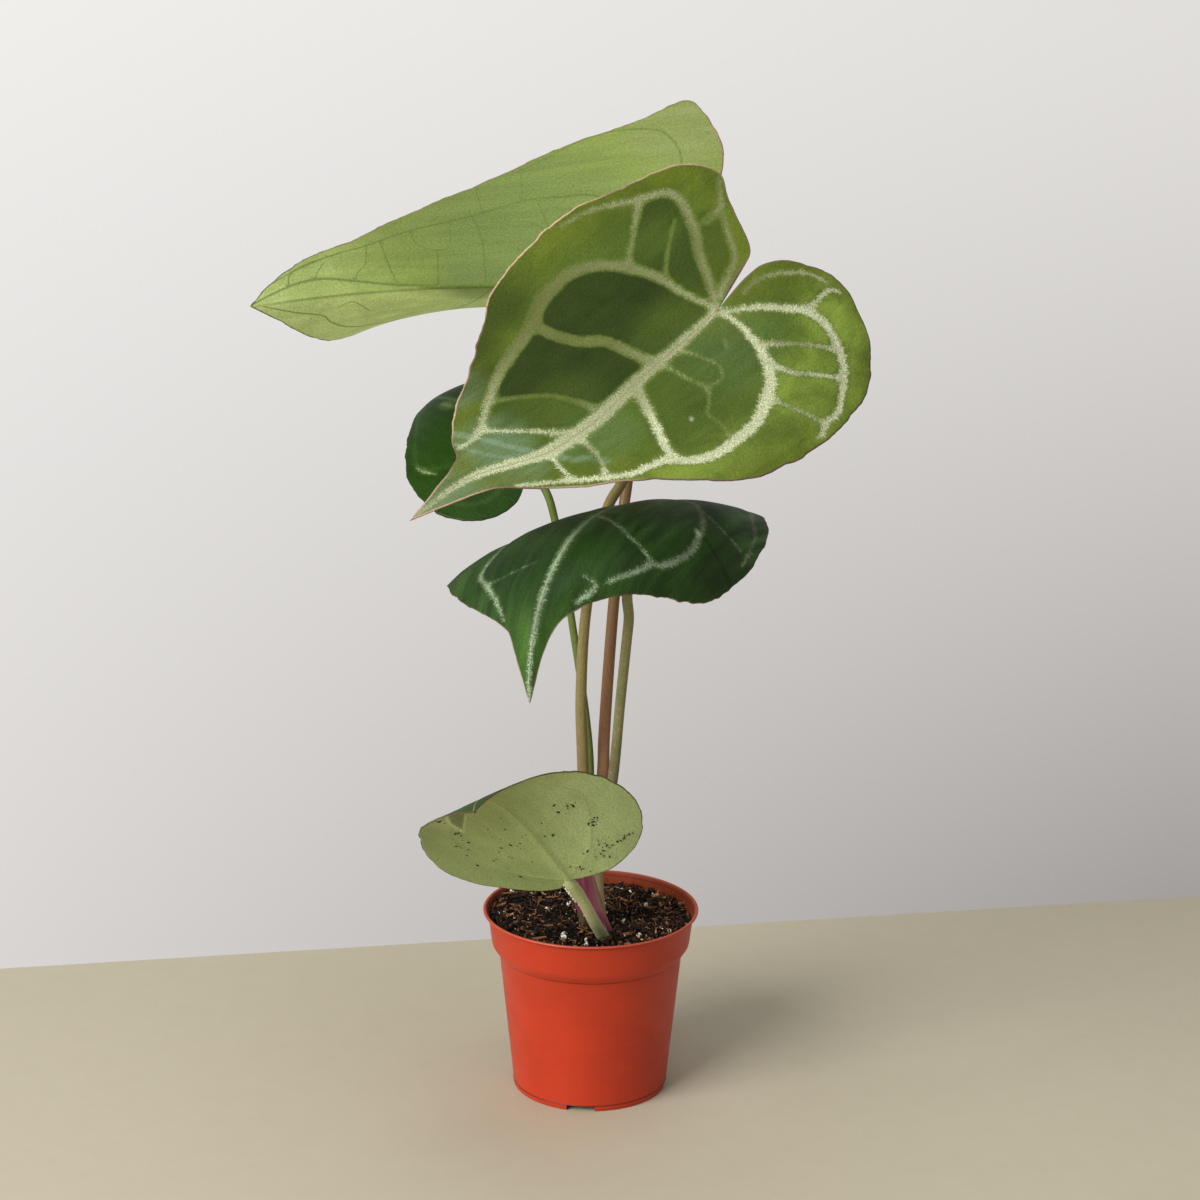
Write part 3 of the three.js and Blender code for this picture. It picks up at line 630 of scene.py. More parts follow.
bm = bmesh.new()
bmesh.ops.create_grid(bm, x_segments=sheath_steps, y_segments=sheath_steps, size=0.5)
around = bm.verts.layers.float_vector.new("around")
for v in bm.verts:
    across, u = v.co.x + 0.5, v.co.y + 0.5
    centre = draw3(u, sheath_axis)
    below_cut = (sheath_cut_at[0] - u) / (sheath_cut_at[0] - sheath_cut_at[1])
    left_edge = draw3(u, sheath_from) + sheath_cut * min(1, max(0, below_cut)) ** 0.8
    turn = math.radians(left_edge * (1 - across) + draw3(u, sheath_to) * across)
    fold = 0.25 * math.sin(across * 26) + 0.35 * noise.noise(Vector((across * 5, u * 4, 3)))
    radius = draw3(u, sheath_radii) - sheath_thickness / 2 + fold * 0.6 * math.sin(math.pi * across)
    v[around] = (across, u, 0)
    v.co = Vector(centre + radius * np.array((math.cos(turn), math.sin(turn), 0))) * MM
bmesh.ops.recalc_face_normals(bm, faces=bm.faces)
sheath = add_piece("crown_sheath", bm)
wall = sheath.modifiers.new("wall", "SOLIDIFY")
wall.thickness = sheath_thickness * MM
wall.offset = 0

finish, tree = new_finish("sheath_scale", 0.5, 0.4)
place = mark(tree, "around", "Vector")
spot = add(tree, "ShaderNodeSeparateXYZ", {0: place}).outputs
ribs = grain(tree, stretch(tree, place, 60, 4, 1), 1, 4)
upper_right = times(tree, ramp(tree, spot[0], 0.68, 1.0, 0, 0.75), ramp(tree, spot[1], 0.1, 0.4))
base = coat(
    tree, (0.17, 0.024, 0.056),
    (ramp(tree, ribs, 0.3, 0.7), (0.34, 0.070, 0.120)),
    (ramp(tree, spot[0], 0.5, 0.15, 0, 0.6), (0.075, 0.014, 0.036)),
    (upper_right, (0.42, 0.22, 0.19)),
    (ramp(tree, grain(tree, place, 30, 3), 0.62, 0.75, 0, 0.4), (0.30, 0.16, 0.16)),
)
dress(sheath, finish, base, ribs, 0.0004)
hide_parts("sheath")


# ---- front blade --------------------------------------------------------------------------------
# The largest leaf: a heart with its upper face turned to the front, velvety olive green, with
# broad silvery veins that feather into the green and a thin pinkish rim.  A blade is a flat sheet
# laid on a bent midrib: the first flat coordinate runs from the petiole to the tip, the second
# sideways to the blade's left.

rib_steps = 120
rib_depth = 1.1
rib_half_width = 2.2
blade_thickness = 0.9
blade_edge = 0.6
thinning_width = 14
blade_half_width = 0.46
foot_start = 0.1
foot_power = 1.15
petiole_print = 9
slope_step = 0.4
net_pitch = 11 * MM
patch_kinds = ("darker_and_shaded", "painted_sheen", "paler_and_lit", "pale_rim_and_highlight", "tear_shade", "fray")


def draw_through(u, values):
    """A run over an array that is held at its ends."""
    return draw3(np.clip(u, 0, 1), values)


def midrib_frames(blade):
    """The midrib marched both ways from the petiole: place, direction, left side and upper face."""
    heading, rise = math.radians(blade["heading"]), math.radians(blade["rise"])
    along = Vector((math.cos(rise) * math.cos(heading), math.cos(rise) * math.sin(heading), math.sin(rise)))
    up = (Vector((0, 0, 1)) - along * along.z).normalized()
    left = up.cross(along)
    roll = Matrix.Rotation(math.radians(blade["roll"]), 3, along)
    rows = [(0.0, *blade["at"], *(roll @ left), *(roll @ up))]
    for reach in (blade["back"], blade["length"]):
        a, point = 0.0, Vector(blade["at"])
        ahead, side, top = along.copy(), roll @ left, roll @ up
        h = reach / rib_steps
        for i in range(rib_steps):
            u = (a + h / 2 - blade["back"]) / (blade["length"] - blade["back"])
            bend, yaw, twist = (float(draw_through(u, blade[key])) for key in ("bend", "yaw", "twist"))
            turn = (side * bend + top * yaw + ahead * twist) * math.radians(h / blade["length"])
            half = Matrix.Rotation(turn.length / 2, 3, turn) if turn.length else Matrix.Identity(3)
            point = point + (half @ ahead) * h
            full = half @ half
            ahead, side, top = full @ ahead, full @ side, full @ top
            a += h
            rows.append((a, *point, *side, *top))
    return np.array(sorted(rows))


def lay(blade, frames, a, b):
    """Where flat coordinates lie in space, in millimetres."""
    lie = [np.interp(a, frames[:, 0], frames[:, k]) for k in range(1, 10)]
    point, side, top = np.stack(lie[0:3], 1), np.stack(lie[3:6], 1), np.stack(lie[6:9], 1)
    u = (a - blade["back"]) / (blade["length"] - blade["back"])
    fold, curl = (np.where(b >= 0, *(draw_through(u, blade[s][key]) for s in ("left", "right")))
                  for key in ("fold", "curl"))
    slope = np.radians(fold)
    rate = np.radians(curl) / (blade_half_width * blade["length"])
    rate = np.where(np.abs(rate) < 1e-7, 1e-7, rate)
    reach = np.abs(b)
    out = (np.sin(slope + rate * reach) - np.sin(slope)) / rate
    lift = (np.cos(slope) - np.cos(slope + rate * reach)) / rate
    return point + side * (np.sign(b) * out)[:, None] + top * lift[:, None]


def slopes(blade, frames, a, b):
    """The steps along and across the laid sheet at flat coordinates."""
    e = slope_step
    return (lay(blade, frames, a + e, b) - lay(blade, frames, a - e, b),
            lay(blade, frames, a, b + e) - lay(blade, frames, a, b - e))


def curve_through(points, steps):
    """Points of a smooth flat curve through points."""
    p = np.array(points, float)
    t = np.linspace(0, len(p) - 1, steps + 1)
    i = np.minimum(t.astype(int), len(p) - 2)
    w = (t - i)[:, None]
    p0, p1, p2, p3 = p[np.maximum(i - 1, 0)], p[i], p[i + 1], p[np.minimum(i + 2, len(p) - 1)]
    m1, m2 = (p2 - p0) / 2, (p3 - p1) / 2
    return ((2 * w**3 - 3 * w**2 + 1) * p1 + (w**3 - 2 * w**2 + w) * m1
            + (3 * w**2 - 2 * w**3) * p2 + (w**3 - w**2) * m2)


def line_distance(flat, line):
    """How far each flat point is from a line, how far along the line it is nearest, and its side."""
    best = np.full(len(flat), 1e9)
    where = np.zeros(len(flat))
    side = np.ones(len(flat))
    for k, (p, q) in enumerate(zip(line, line[1:])):
        run, away = q - p, flat - p
        t = np.clip((away @ run) / max(run @ run, 1e-12), 0, 1)
        d = np.linalg.norm(away - t[:, None] * run, axis=1)
        near = d < best
        best[near] = d[near]
        where[near] = (k + t[near]) / (len(line) - 1)
        side[near] = np.where(run[0] * away[near, 1] < run[1] * away[near, 0], -1, 1)
    return best, where, side


def patch_share(flat, place):
    """How much of a patch lies on each flat point: a cell, a streak or a soft oval."""
    a, b = flat.T
    if len(place) == 1:
        corners = np.array(place[0] + place[0][:1], float)
        inside = np.zeros(len(flat), bool)
        for (pa, pb), (qa, qb) in zip(corners, corners[1:]):
            inside ^= ((pb > b) != (qb > b)) & (a < pa + (qa - pa) * (b - pb) / (qb - pb + 1e-9))
        reach = line_distance(flat, corners)[0]
        return np.clip(0.5 + np.where(inside, reach, -reach) / 3, 0, 1)
    if len(place) == 2:
        return np.exp(-((line_distance(flat, curve_through(place[0], 24))[0] / place[1]) ** 4))
    return np.exp(-(np.hypot((a - place[0]) / place[2], (b - place[1]) / place[3]) ** 4))


def blade_outlines(blade, rows):
    """Both margins as smooth flat curves, with small waves."""
    outlines = {s: curve_through(blade[s]["outline"], rows) for s in ("left", "right")}
    for edge in outlines.values():
        for point in edge[1:-1]:
            wave = (noise.noise(Vector((point[0], point[1], 0)) * 0.09)
                    + 0.5 * noise.noise(Vector((point[0], point[1], 5)) * 0.3))
            point *= 1 - (0.35 + wave) / max(np.hypot(*point), 30)
    return outlines


def blade_piece(name, blade, veins, patches, rows, columns, ripple=0.5, webbing=1.3, ribbing=1.0):
    """The blade: a grid laid out as a flat heart, given its second face and set on the midrib.

    A vein is its half widths, its brightness, both from start to end, and its flat points.  Where
    veins meet they are webbed together.  A patch is a soft oval, its place, size and strength, a
    streak, its points, half width and strength, or a cell, its corners and strength.  A strength
    below zero thins the patches before it.
    """
    outline = blade_outlines(blade, rows)
    ahead = np.maximum(0, (outline["left"][:, 0] + outline["right"][:, 0]) / 2 / blade["length"] - foot_start)
    feet = blade["length"] * (ahead / (1 - foot_start)) ** foot_power
    bm = bmesh.new()
    bmesh.ops.create_grid(bm, x_segments=rows, y_segments=2 * columns, size=0.5)
    for v in bm.verts:
        row, across = round((v.co.x + 0.5) * rows), v.co.y * 2
        margin = outline["left" if across >= 0 else "right"][row]
        reach = abs(across)
        v.co = (feet[row] + reach * (margin[0] - feet[row]), reach * margin[1], 1)
    bmesh.ops.remove_doubles(bm, verts=bm.verts, dist=0.002)
    twin = bmesh.ops.extrude_face_region(bm, geom=bm.faces[:], use_keep_orig=True)
    under = [g for g in twin["geom"] if isinstance(g, bmesh.types.BMVert)]
    bmesh.ops.translate(bm, verts=under, vec=(0, 0, -2))
    bmesh.ops.recalc_face_normals(bm, faces=bm.faces)
    piece = add_piece(name, bm)
    mesh = piece.data
    count = len(mesh.vertices)
    co = np.empty(count * 3)
    mesh.vertices.foreach_get("co", co)
    a, b, face = co.reshape(-1, 3).T
    flat = np.stack([a, b], 1)
    rim = np.minimum(*(line_distance(flat, outline[s][::3])[0] for s in ("left", "right")))

    weight = np.full(count, 1e-9)
    glow, ridge, thread = np.zeros(count), np.zeros(count), np.zeros(count)
    closest = np.full(count, -1e9)
    near = np.zeros((count, 3))
    for index, (widths, lights, points) in enumerate(veins):
        line = curve_through(points, 6 * (len(points) - 1))
        distance, where, side = line_distance(flat, line)
        if index == 0:
            midline = np.copysign(distance, b - np.interp(a, line[:, 0], line[:, 1]))
        width = np.interp(where, np.linspace(0, 1, len(widths)), widths)
        lead = width - distance > closest
        closest[lead] = (width - distance)[lead]
        thread[lead] = (side * distance / np.maximum(width, 0.3))[lead]
        run = where * np.linalg.norm(np.diff(line, axis=0), axis=1).sum()
        near[lead] = np.column_stack([run, 2 * side, np.full(count, 7.0 * index)])[lead]
        share = np.exp((width - distance) / webbing)
        weight += share
        glow += share * np.interp(where, np.linspace(0, 1, len(lights)), lights)
        rise = np.minimum(width, 1.6) / 1.6 * np.exp(-((distance / (0.6 * width + 0.7)) ** 2))
        ridge = np.maximum(ridge, ribbing * rise)
    band = webbing * np.log(weight)
    marks = {
        "band": np.clip(band, -14, 4), "glow": glow / weight, "face": face, "midline": midline,
        "thread": thread, "rim": rim + np.clip(petiole_print - np.hypot(a, b), 0, 3),
    }
    for key in patch_kinds:
        marks[key] = np.zeros(count)
        for *place, strength in patches.get(key, ()):
            share = strength * patch_share(flat, place)
            marks[key] = np.maximum(marks[key], share) if strength > 0 else marks[key] * (1 + share)

    frames = midrib_frames(blade)
    normal = np.cross(*slopes(blade, frames, a, b))
    normal /= np.linalg.norm(normal, axis=1)[:, None]
    half = (blade_edge + (blade_thickness - blade_edge) * np.clip(rim / thinning_width, 0, 1)) / 2
    quilt = ripple * np.clip(-band / 9, 0, 1) ** 0.7 * np.clip(rim / 10, 0, 1)
    keel = np.exp(-((b / rib_half_width) ** 2)) * np.clip(1 - a / blade["length"], 0, 1) * (a > -2)
    below = quilt - half - 0.5 * ridge - 0.8 * rib_depth * keel
    depth = np.where(face > 0, quilt + half - 0.25 * ridge, below)
    spots = (lay(blade, frames, a, b) + normal * depth[:, None]) * MM
    mesh.vertices.foreach_set("co", spots.ravel())
    for key, values in marks.items():
        mesh.attributes.new(key, "FLOAT", "POINT").data.foreach_set("value", values.astype(np.float32))
    on_sheet = np.column_stack([a, b, np.zeros(count)]).astype(np.float32) * MM
    for key, values in (("flat", on_sheet), ("near", near.astype(np.float32))):
        mesh.attributes.new(key, "FLOAT_VECTOR", "POINT").data.foreach_set("vector", values.ravel())
    mesh.update()
    return piece


def leaf_group():
    """Masks that every leaf skin is mixed from: veins with feathered, spurred edges, the glow
    beside them, the cells between them, a fine net, soft clouds, the rim, pleats, fleece and a
    grain."""
    tree = bpy.data.node_groups.new("leaf_marks", "ShaderNodeTree")
    for key in ("Flat", "Near"):
        tree.interface.new_socket(key, in_out="INPUT", socket_type="NodeSocketVector")
    for key in ("Band", "Rim", "Feather", "Rim width"):
        tree.interface.new_socket(key, in_out="INPUT", socket_type="NodeSocketFloat")
    source = tree.nodes.new("NodeGroupInput").outputs
    flat, feather = source["Flat"], source["Feather"]
    hairs = grain(tree, flat, 1300, 3, 0.7, 0.6)
    soft = maths(tree, "SUBTRACT", grain(tree, flat, 260, 3, 0.6), 0.5)
    spurs = ramp(tree, grain(tree, source["Near"], 0.9, 4, 0.75), 0.5, 0.8, 0.0, 2.1, smooth=False)
    ragged = plus(tree, times(tree, maths(tree, "SUBTRACT", hairs, 0.5), 3.6), times(tree, soft, 2.4))
    edge = plus(tree, source["Band"], times(tree, plus(tree, ragged, spurs), feather))
    wander = plus(tree, source["Band"], times(tree, soft, 2.2))
    rough_rim = plus(tree, source["Rim"], times(tree, ragged, 0.15))
    nudge = add(tree, "ShaderNodeTexNoise", {"Vector": flat, "Scale": 160, "Detail": 3}).outputs["Color"]
    nudge = add(tree, "ShaderNodeVectorMath", {0: nudge, 3: 0.010}, operation="SCALE").outputs[0]
    warp = add(tree, "ShaderNodeVectorMath", {0: flat, 1: nudge}, operation="ADD").outputs[0]
    warp = add(tree, "ShaderNodeVectorMath", {0: warp, 1: [net_pitch] * 3}, operation="DIVIDE").outputs[0]
    cells = add(tree, "ShaderNodeTexVoronoi", {"Vector": warp, "Scale": 1.0}, feature="DISTANCE_TO_EDGE")
    pleat = stretch(tree, flat, 18, 150, 1)
    speck = plus(tree, grain(tree, flat, 2600, 2, 0.6), grain(tree, flat, 800, 3, 0.6))
    masks = {
        "Vein": ramp(tree, edge, times(tree, feather, -0.8), times(tree, feather, 0.9)),
        "Beside": ramp(tree, wander, -3.2, -0.2),
        "Cell": ramp(tree, wander, -0.4, -2.2),
        "Net": ramp(tree, cells.outputs["Distance"], 0.07, 0.0),
        "Cloud": grain(tree, flat, 45, 5, 0.62, 0.5),
        "Rim": ramp(tree, rough_rim, source["Rim width"], times(tree, source["Rim width"], 0.5)),
        "Pleat": grain(tree, pleat, 1, 3, 0.55, 0.4),
        "Fleece": ramp(tree, hairs, 0.42, 0.62),
        "Grain": times(tree, speck, 0.5),
    }
    for key in masks:
        tree.interface.new_socket(key, in_out="OUTPUT", socket_type="NodeSocketFloat")
    sink = tree.nodes.new("NodeGroupOutput").inputs
    for key, value in masks.items():
        tree.links.new(value, sink[key])
    return tree


leaf_marks = leaf_group()


def grey(tree, value):
    return add(tree, "ShaderNodeCombineXYZ", {0: value, 1: value, 2: value}).outputs[0]


def dress_leaf(leaf, name, upper, under, feather=1.1, rim_width=0.6, specular=0.15, through=0.0, pleats=0.0,
               crisp=False):
    """A leaf skin with an upper and a lower face.

    Each face gives its colours: body, deep (its dark patches: darker tissue, and painted shade),
    outer (towards the margin), bright (its light patches: paler tissue, and painted light), glow
    (beside the veins), vein, dull (a vein of no brightness), bloom (its greyish patches of painted
    sheen), line (down the middle of the midrib) and rim, then how far its veins cover, how strong
    its fine net is, and its roughness.  Through is how strongly the bright patches glow, as painted
    light shining through the leaf, pleats how strong its long soft folds are, in relief and in
    painted shade and highlight, and crisp veins are fine lines.
    """
    finish, tree = new_finish(name, upper["roughness"], specular)
    measures = ("band", "glow", "rim", "face", "thread", "midline")
    named = {key: mark(tree, key) for key in (*measures, *patch_kinds)}
    marks = add(tree, "ShaderNodeGroup", {
        "Flat": mark(tree, "flat", "Vector"), "Near": mark(tree, "near", "Vector"),
        "Band": named["band"], "Rim": named["rim"], "Feather": feather, "Rim width": rim_width,
    }, node_tree=leaf_marks).outputs
    vein = marks["Vein"]
    line = ramp(tree, maths(tree, "ABSOLUTE", named["midline"]), 0.6, 0.2)
    # The dark patches: darker tissue between the veins, and painted shade where a fold or another leaf shades
    # the blade.
    dark = times(tree, named["darker_and_shaded"], ramp(tree, marks["Cloud"], 0.35, 0.65, 1.0, 0.86))
    if crisp:
        fine = ramp(tree, maths(tree, "ABSOLUTE", named["thread"]), 1.4, 0.5)
        vein = times(tree, fine, ramp(tree, named["band"], -1.5, -0.7))
    else:
        dark = times(tree, dark, ramp(tree, marks["Cell"], 0, 1, 0.25, 1.0))
    # Painted sheen: greyish-blue light on the gloss, laid on in streaks along the pleats.
    sheen_streaks = times(tree, named["painted_sheen"], ramp(tree, marks["Pleat"], 0.3, 0.65, 0.45, 1.0))
    frayed = times(tree, named["fray"], ramp(tree, marks["Fleece"], 0, 1, 0.5, 1.0))
    faces = []
    for look in (upper, under):
        stripe = coat(
            tree, look["dull"],
            (named["glow"], look["vein"]),
            (ramp(tree, marks["Fleece"], 0, 1, 0.55, 0.0), look["glow"]),
            (times(tree, line, 0.55), look["line"]),
        )
        # The rim is darker except in its pale patches, which are partly a painted highlight along the edge.
        pale_rim_and_highlight = blend(tree, named["pale_rim_and_highlight"], toned(look["rim"], 0.3), look["rim"])
        faces.append(coat(
            tree, look["body"],
            (ramp(tree, named["rim"], 26.0, 5.0), look["outer"]),
            # The light patches: paler tissue, and painted light where light falls on the blade or shines through
            # it.
            (named["paler_and_lit"], look["paler_and_lit"]),
            (ramp(tree, marks["Cloud"], 0.38, 0.68, 0, 0.25 if crisp else 0.55), toned(look["body"], 0.68)),
            (dark, look["darker_and_shaded"]),
            (ramp(tree, marks["Beside"], 0, 1, 0, 0.0 if crisp else 0.6), look["glow"]),
            (sheen_streaks, look["painted_sheen"]),
            (times(tree, marks["Net"], look["net"]), look["vein"]),
            (times(tree, vein, look["cover"]), stripe),
            # Painted shade in the tear: a darker strip where the torn blade opens.
            (named["tear_shade"], toned(look["body"], 0.45)),
            (frayed, toned(look["vein"], 1.5, 0.1)),
            (times(tree, marks["Rim"], 0.9), pale_rim_and_highlight),
        ))
    base = blend(tree, ramp(tree, named["face"], 0.2, -0.2), *faces)
    speck = ramp(tree, marks["Grain"], 0.34, 0.66, 0.76, 1.2)
    # Painted shade and highlight along the long soft folds: the colour is darkened and lightened with them.
    if pleats:
        speck = times(tree, speck, ramp(tree, marks["Pleat"], 0.3, 0.7, 1 - pleats, 1 + pleats))
    base = blend(tree, 1.0, base, grey(tree, speck), "MULTIPLY")
    # Painted light: the light patches glow, standing in for light that shines through the leaf.
    if through:
        lit = blend(tree, 1.0, base, grey(tree, named["paler_and_lit"]), "MULTIPLY")
        skin = tree.nodes["Principled BSDF"]
        tree.links.new(lit, skin.inputs["Emission Color"])
        skin.inputs["Emission Strength"].default_value = through
    rough = ramp(tree, named["face"], 0.2, -0.2, upper["roughness"], under["roughness"])
    rough = plus(tree, rough, ramp(tree, marks["Cloud"], 0.3, 0.7, -0.05, 0.07))
    height = plus(tree, times(tree, marks["Grain"], 0.5), times(tree, marks["Net"], -0.4))
    height = plus(tree, height, times(tree, marks["Pleat"], 6 * pleats))
    dress(leaf, finish, base, height, 0.00022, rough)


front_blade = {
    "at": (62.3, -69.1, 451.8), "heading": 218, "rise": -33, "roll": -43, "length": 213, "back": -69,
    "bend": (25, -71, 12), "yaw": (1, -24, 2), "twist": (32, -3, -7),
    "left": {
        "fold": (-5, 20, 17), "curl": (-30, 3, -2),
        "outline": [
            (0, 0), (-24, -2), (-41, 2.2), (-56, 21), (-60, 42), (-46, 69), (-22, 83), (10, 88), (44, 87),
            (72, 80), (96, 60), (116, 44), (136, 33), (152, 19), (168, 7), (190, 3), (213, 0),
        ],
    },
    "right": {
        "fold": (-13, 3, -8), "curl": (16, 21, -30),
        "outline": [
            (0, 0), (-21, -6.4), (-38.5, -11), (-53, -37), (-62, -52), (-50, -70), (-24, -80), (12, -91),
            (46, -92), (78, -86), (104, -70), (124, -57), (148, -42), (160, -30), (170, -17), (192, -8),
            (213, 0),
        ],
    },
}
front_veins = [
    ((0.9, 2.2, 2.9, 4.1, 4.2, 2.6, 0.9, 0.3), (0.6, 0.45, 0.4, 0.6, 0.9, 0.85, 0.5), [(1, 0), (14, 0),
        (32, 0), (48, 0), (65, 1), (89, 4), (107, 5), (127, 5), (142, 1), (161, -4), (177, -5), (194, -3),
        (213, 0)]),
    ((0.8, 1.9, 2.2, 2.5, 1.9, 1.4, 0.8), (0.4, 0.16, 0.12, 0.05, 0.0, 0.14, 0.6, 0.85), [(1, -3), (5, -17),
        (7, -32), (12, -45), (20, -56), (29, -63), (40, -67), (52, -67), (64, -65), (78, -58), (98, -52),
        (114, -46), (129, -37), (145, -26), (153, -23), (161, -23)]),
    ((0.7, 1.6, 1.8, 1.6, 0.7, 0.0), (0.2, 0.12, 0.05, 0.2, 0.28, 0.29, 0.18), [(-1, -3), (-4, -7),
        (-11, -17), (-17, -27), (-22, -33), (-27, -39), (-32, -48), (-35, -57), (-33, -63), (-25, -68),
        (-12, -75), (-2, -81), (11, -86), (23, -88)]),
    ((0.8, 2.2, 2.7, 2.4, 1.9, 1.1, 0.8), (0.75, 0.99, 1.0, 1.0, 1.0, 1.0, 0.77), [(1, 3), (0, 13), (2, 25),
        (6, 36), (15, 47), (27, 54), (40, 59), (53, 60), (69, 60), (82, 55), (88, 48), (99, 45), (109, 43),
        (122, 36), (133, 28), (144, 21), (157, 13)]),
    ((0.7, 1.6, 2.1, 2.2, 1.4, 0.6), (0.59, 0.79, 1.0, 0.99, 0.99, 0.99, 0.85), [(0, 3), (-7, 8), (-16, 15),
        (-25, 24), (-31, 31), (-34, 40), (-33, 48), (-29, 57), (-23, 65), (-14, 72), (0, 80), (10, 81),
        (20, 85)]),
    ((2.2, 1.8, 2.0), (0.25, 0.04, 0.02, 0.02), [(47, -1), (51, -14), (56, -27), (66, -36), (73, -47),
        (76, -57)]),
    ((1.6, 0.3, 0.7), (0.52, 0.75, 0.85, 1.0, 0.79), [(112, 0), (123, -9), (132, -16), (145, -25)]),
    ((1.2, -0.6, -0.2), (0.17, 0.0, 0.0, 0.02, 0.29), [(90, -3), (94, -11), (101, -21), (113, -29),
        (129, -37)]),
    ((1.2, 0.2, 1.2), (0.26, 0.22, 0.16, 0.15, 0.14), [(-17, -69), (-9, -64), (0, -58), (9, -53),
        (14, -48)]),
    ((0.5, 0.8, 0.5), (0.06, 0.18, 0.25, 0.0, 0.0), [(-59, -49), (-48, -39), (-42, -38), (-35, -38)]),
    ((0.6, 0.9, 1.2), (0.0, 0.18, 0.11, 0.13, 0.26), [(-46, -37), (-38, -26), (-32, -17), (-28, -13),
        (-18, -9), (-6, -5)]),
    ((-0.8, -0.3), (0.0, 0.0, 0.0, 0.0, 0.03), [(-24, -50), (-13, -44), (-5, -39), (3, -33)]),
    ((2.6, 1.7, 2.2), (0.35, 0.51, 1.0, 1.0, 1.0), [(66, 4), (71, 16), (76, 26), (82, 37), (87, 49)]),
    ((1.4, 0.4, 1.0), (0.87, 0.43, 0.38, 0.45, 0.96), [(110, 6), (111, 18), (114, 27), (120, 36)]),
    ((1.2, 0.7, 0.9), (1.0, 1.0, 1.0), [(128, 4), (131, 14), (134, 28)]),
    ((0.4, 0.8, 0.4), (0.1, 0.12, 0.38, 0.41, 0.57), [(-16, 3), (-26, 3), (-35, 7), (-43, 13), (-49, 19),
        (-53, 28)]),
    ((1.2, 0.7, 0.5), (0.89, 0.73, 1.0, 1.0, 1.0), [(-33, 32), (-45, 32), (-52, 33), (-55, 37)]),
    ((1.4, 0.4, 0.9), (0.65, 0.46, 0.32, 0.47, 0.89), [(0, 30), (-9, 37), (-18, 46), (-28, 57)]),
    ((1.6, 0.6, 0.9), (0.75, 0.72, 0.59, 1.0, 0.89), [(6, 40), (2, 50), (-7, 59), (-17, 69)]),
    ((1.0, 0.5, 0.7), (0.81, 0.43, 0.46, 0.45, 0.75), [(23, 53), (16, 69), (12, 81)]),
    ((0.2, -0.7, -0.8), (0.3, 0.36, 0.29, 0.31, 0.29), [(45, 3), (43, 17), (41, 28), (47, 35), (53, 40),
        (53, 48), (56, 59)]),
    ((0.2, -0.7, -0.8), (0.32, 0.36, 0.31, 0.27, 0.1), [(32, 3), (28, 14), (26, 23), (31, 29), (41, 28)]),
    ((-0.6, -0.6), (0.1, 0.07, 0.07, 0.07, 0.08), [(12, 14), (15, 18)]),
]
# Painted sheen: the streaks and ovals of greyish-blue light near the tip and on the folds; the rim's pale
# patches are partly a painted highlight.
front_patches = {
    "darker_and_shaded": [
        ([(2, -3), (7, -32), (12, -45), (20, -56), (29, -63), (40, -67), (52, -67), (64, -65), (78, -58),
            (98, -52), (114, -46), (129, -37), (113, -29), (101, -21), (94, -11), (90, 0), (65, 0),
            (30, 0)], 1.0),
        ([(90, 0), (94, -11), (101, -21), (113, -29), (129, -37), (145, -26), (132, -16), (123, -9),
            (112, 0)], 0.45),
        ([(0, -4), (-11, -17), (-17, -27), (-22, -33), (-27, -39), (-32, -48), (-35, -57), (-33, -63),
            (-25, -68), (-17, -69), (-9, -64), (0, -58), (9, -53), (14, -48), (12, -45), (7, -32),
            (5, -17)], 0.75),
        ([(-6, -5), (-18, -9), (-28, -13), (-32, -17), (-38, -26), (-46, -37), (-42, -40), (-32, -48),
            (-27, -39), (-22, -33), (-17, -27), (-11, -17)], 0.45),
        ([(2, 3), (66, 4), (71, 16), (76, 26), (82, 37), (87, 49), (82, 55), (69, 60), (53, 60), (40, 59),
            (27, 54), (15, 47), (6, 36), (2, 25), (0, 13)], 0.3),
        (26, -12, 26, 13, -0.5), (98, -14, 24, 16, -0.35), (-8, -50, 22, 9, -0.5), (-10, -68, 30, 12, 0.25),
        (128, -52, 34, 12, 0.6), (92, -78, 34, 16, 0.8), (40, 72, 60, 14, 0.2), (112, -68, 22, 14, 0.8),
    ],
    "painted_sheen": [
        (146, -12, 20, 20, 0.5), (196, 0, 32, 22, 0.55), (150, 10, 18, 9, 0.35), (14, 20, 30, 24, 0.12),
        (136, -50, 16, 9, 0.35), (104, 14, 24, 18, 0.15),
        ([(160, -34), (150, -23), (142, -11), (133, 0)], 2.4, 0.95),
        ([(162, -26), (154, -12), (144, -3)], 1.8, 0.8),
        ([(127, 9), (124, 16), (117, 22), (112, 28)], 2.6, 0.6),
    ],
    "paler_and_lit": [(-10, 66, 60, 26, 0.75), (90, 62, 60, 18, 0.6), (-44, 50, 24, 26, 1.0)],
    "pale_rim_and_highlight": [
        (60, -92, 90, 14, 1.0), (140, -42, 34, 16, 0.9), (-40, -66, 34, 20, 0.8), (192, 0, 30, 16, 0.9),
        (134, 36, 34, 16, 0.7),
    ],
    "fray": [(61, 37.5, 0.6, 2.0, 0.5)],
}
front = blade_piece("leaf_front", front_blade, front_veins, front_patches, rows=272, columns=80)
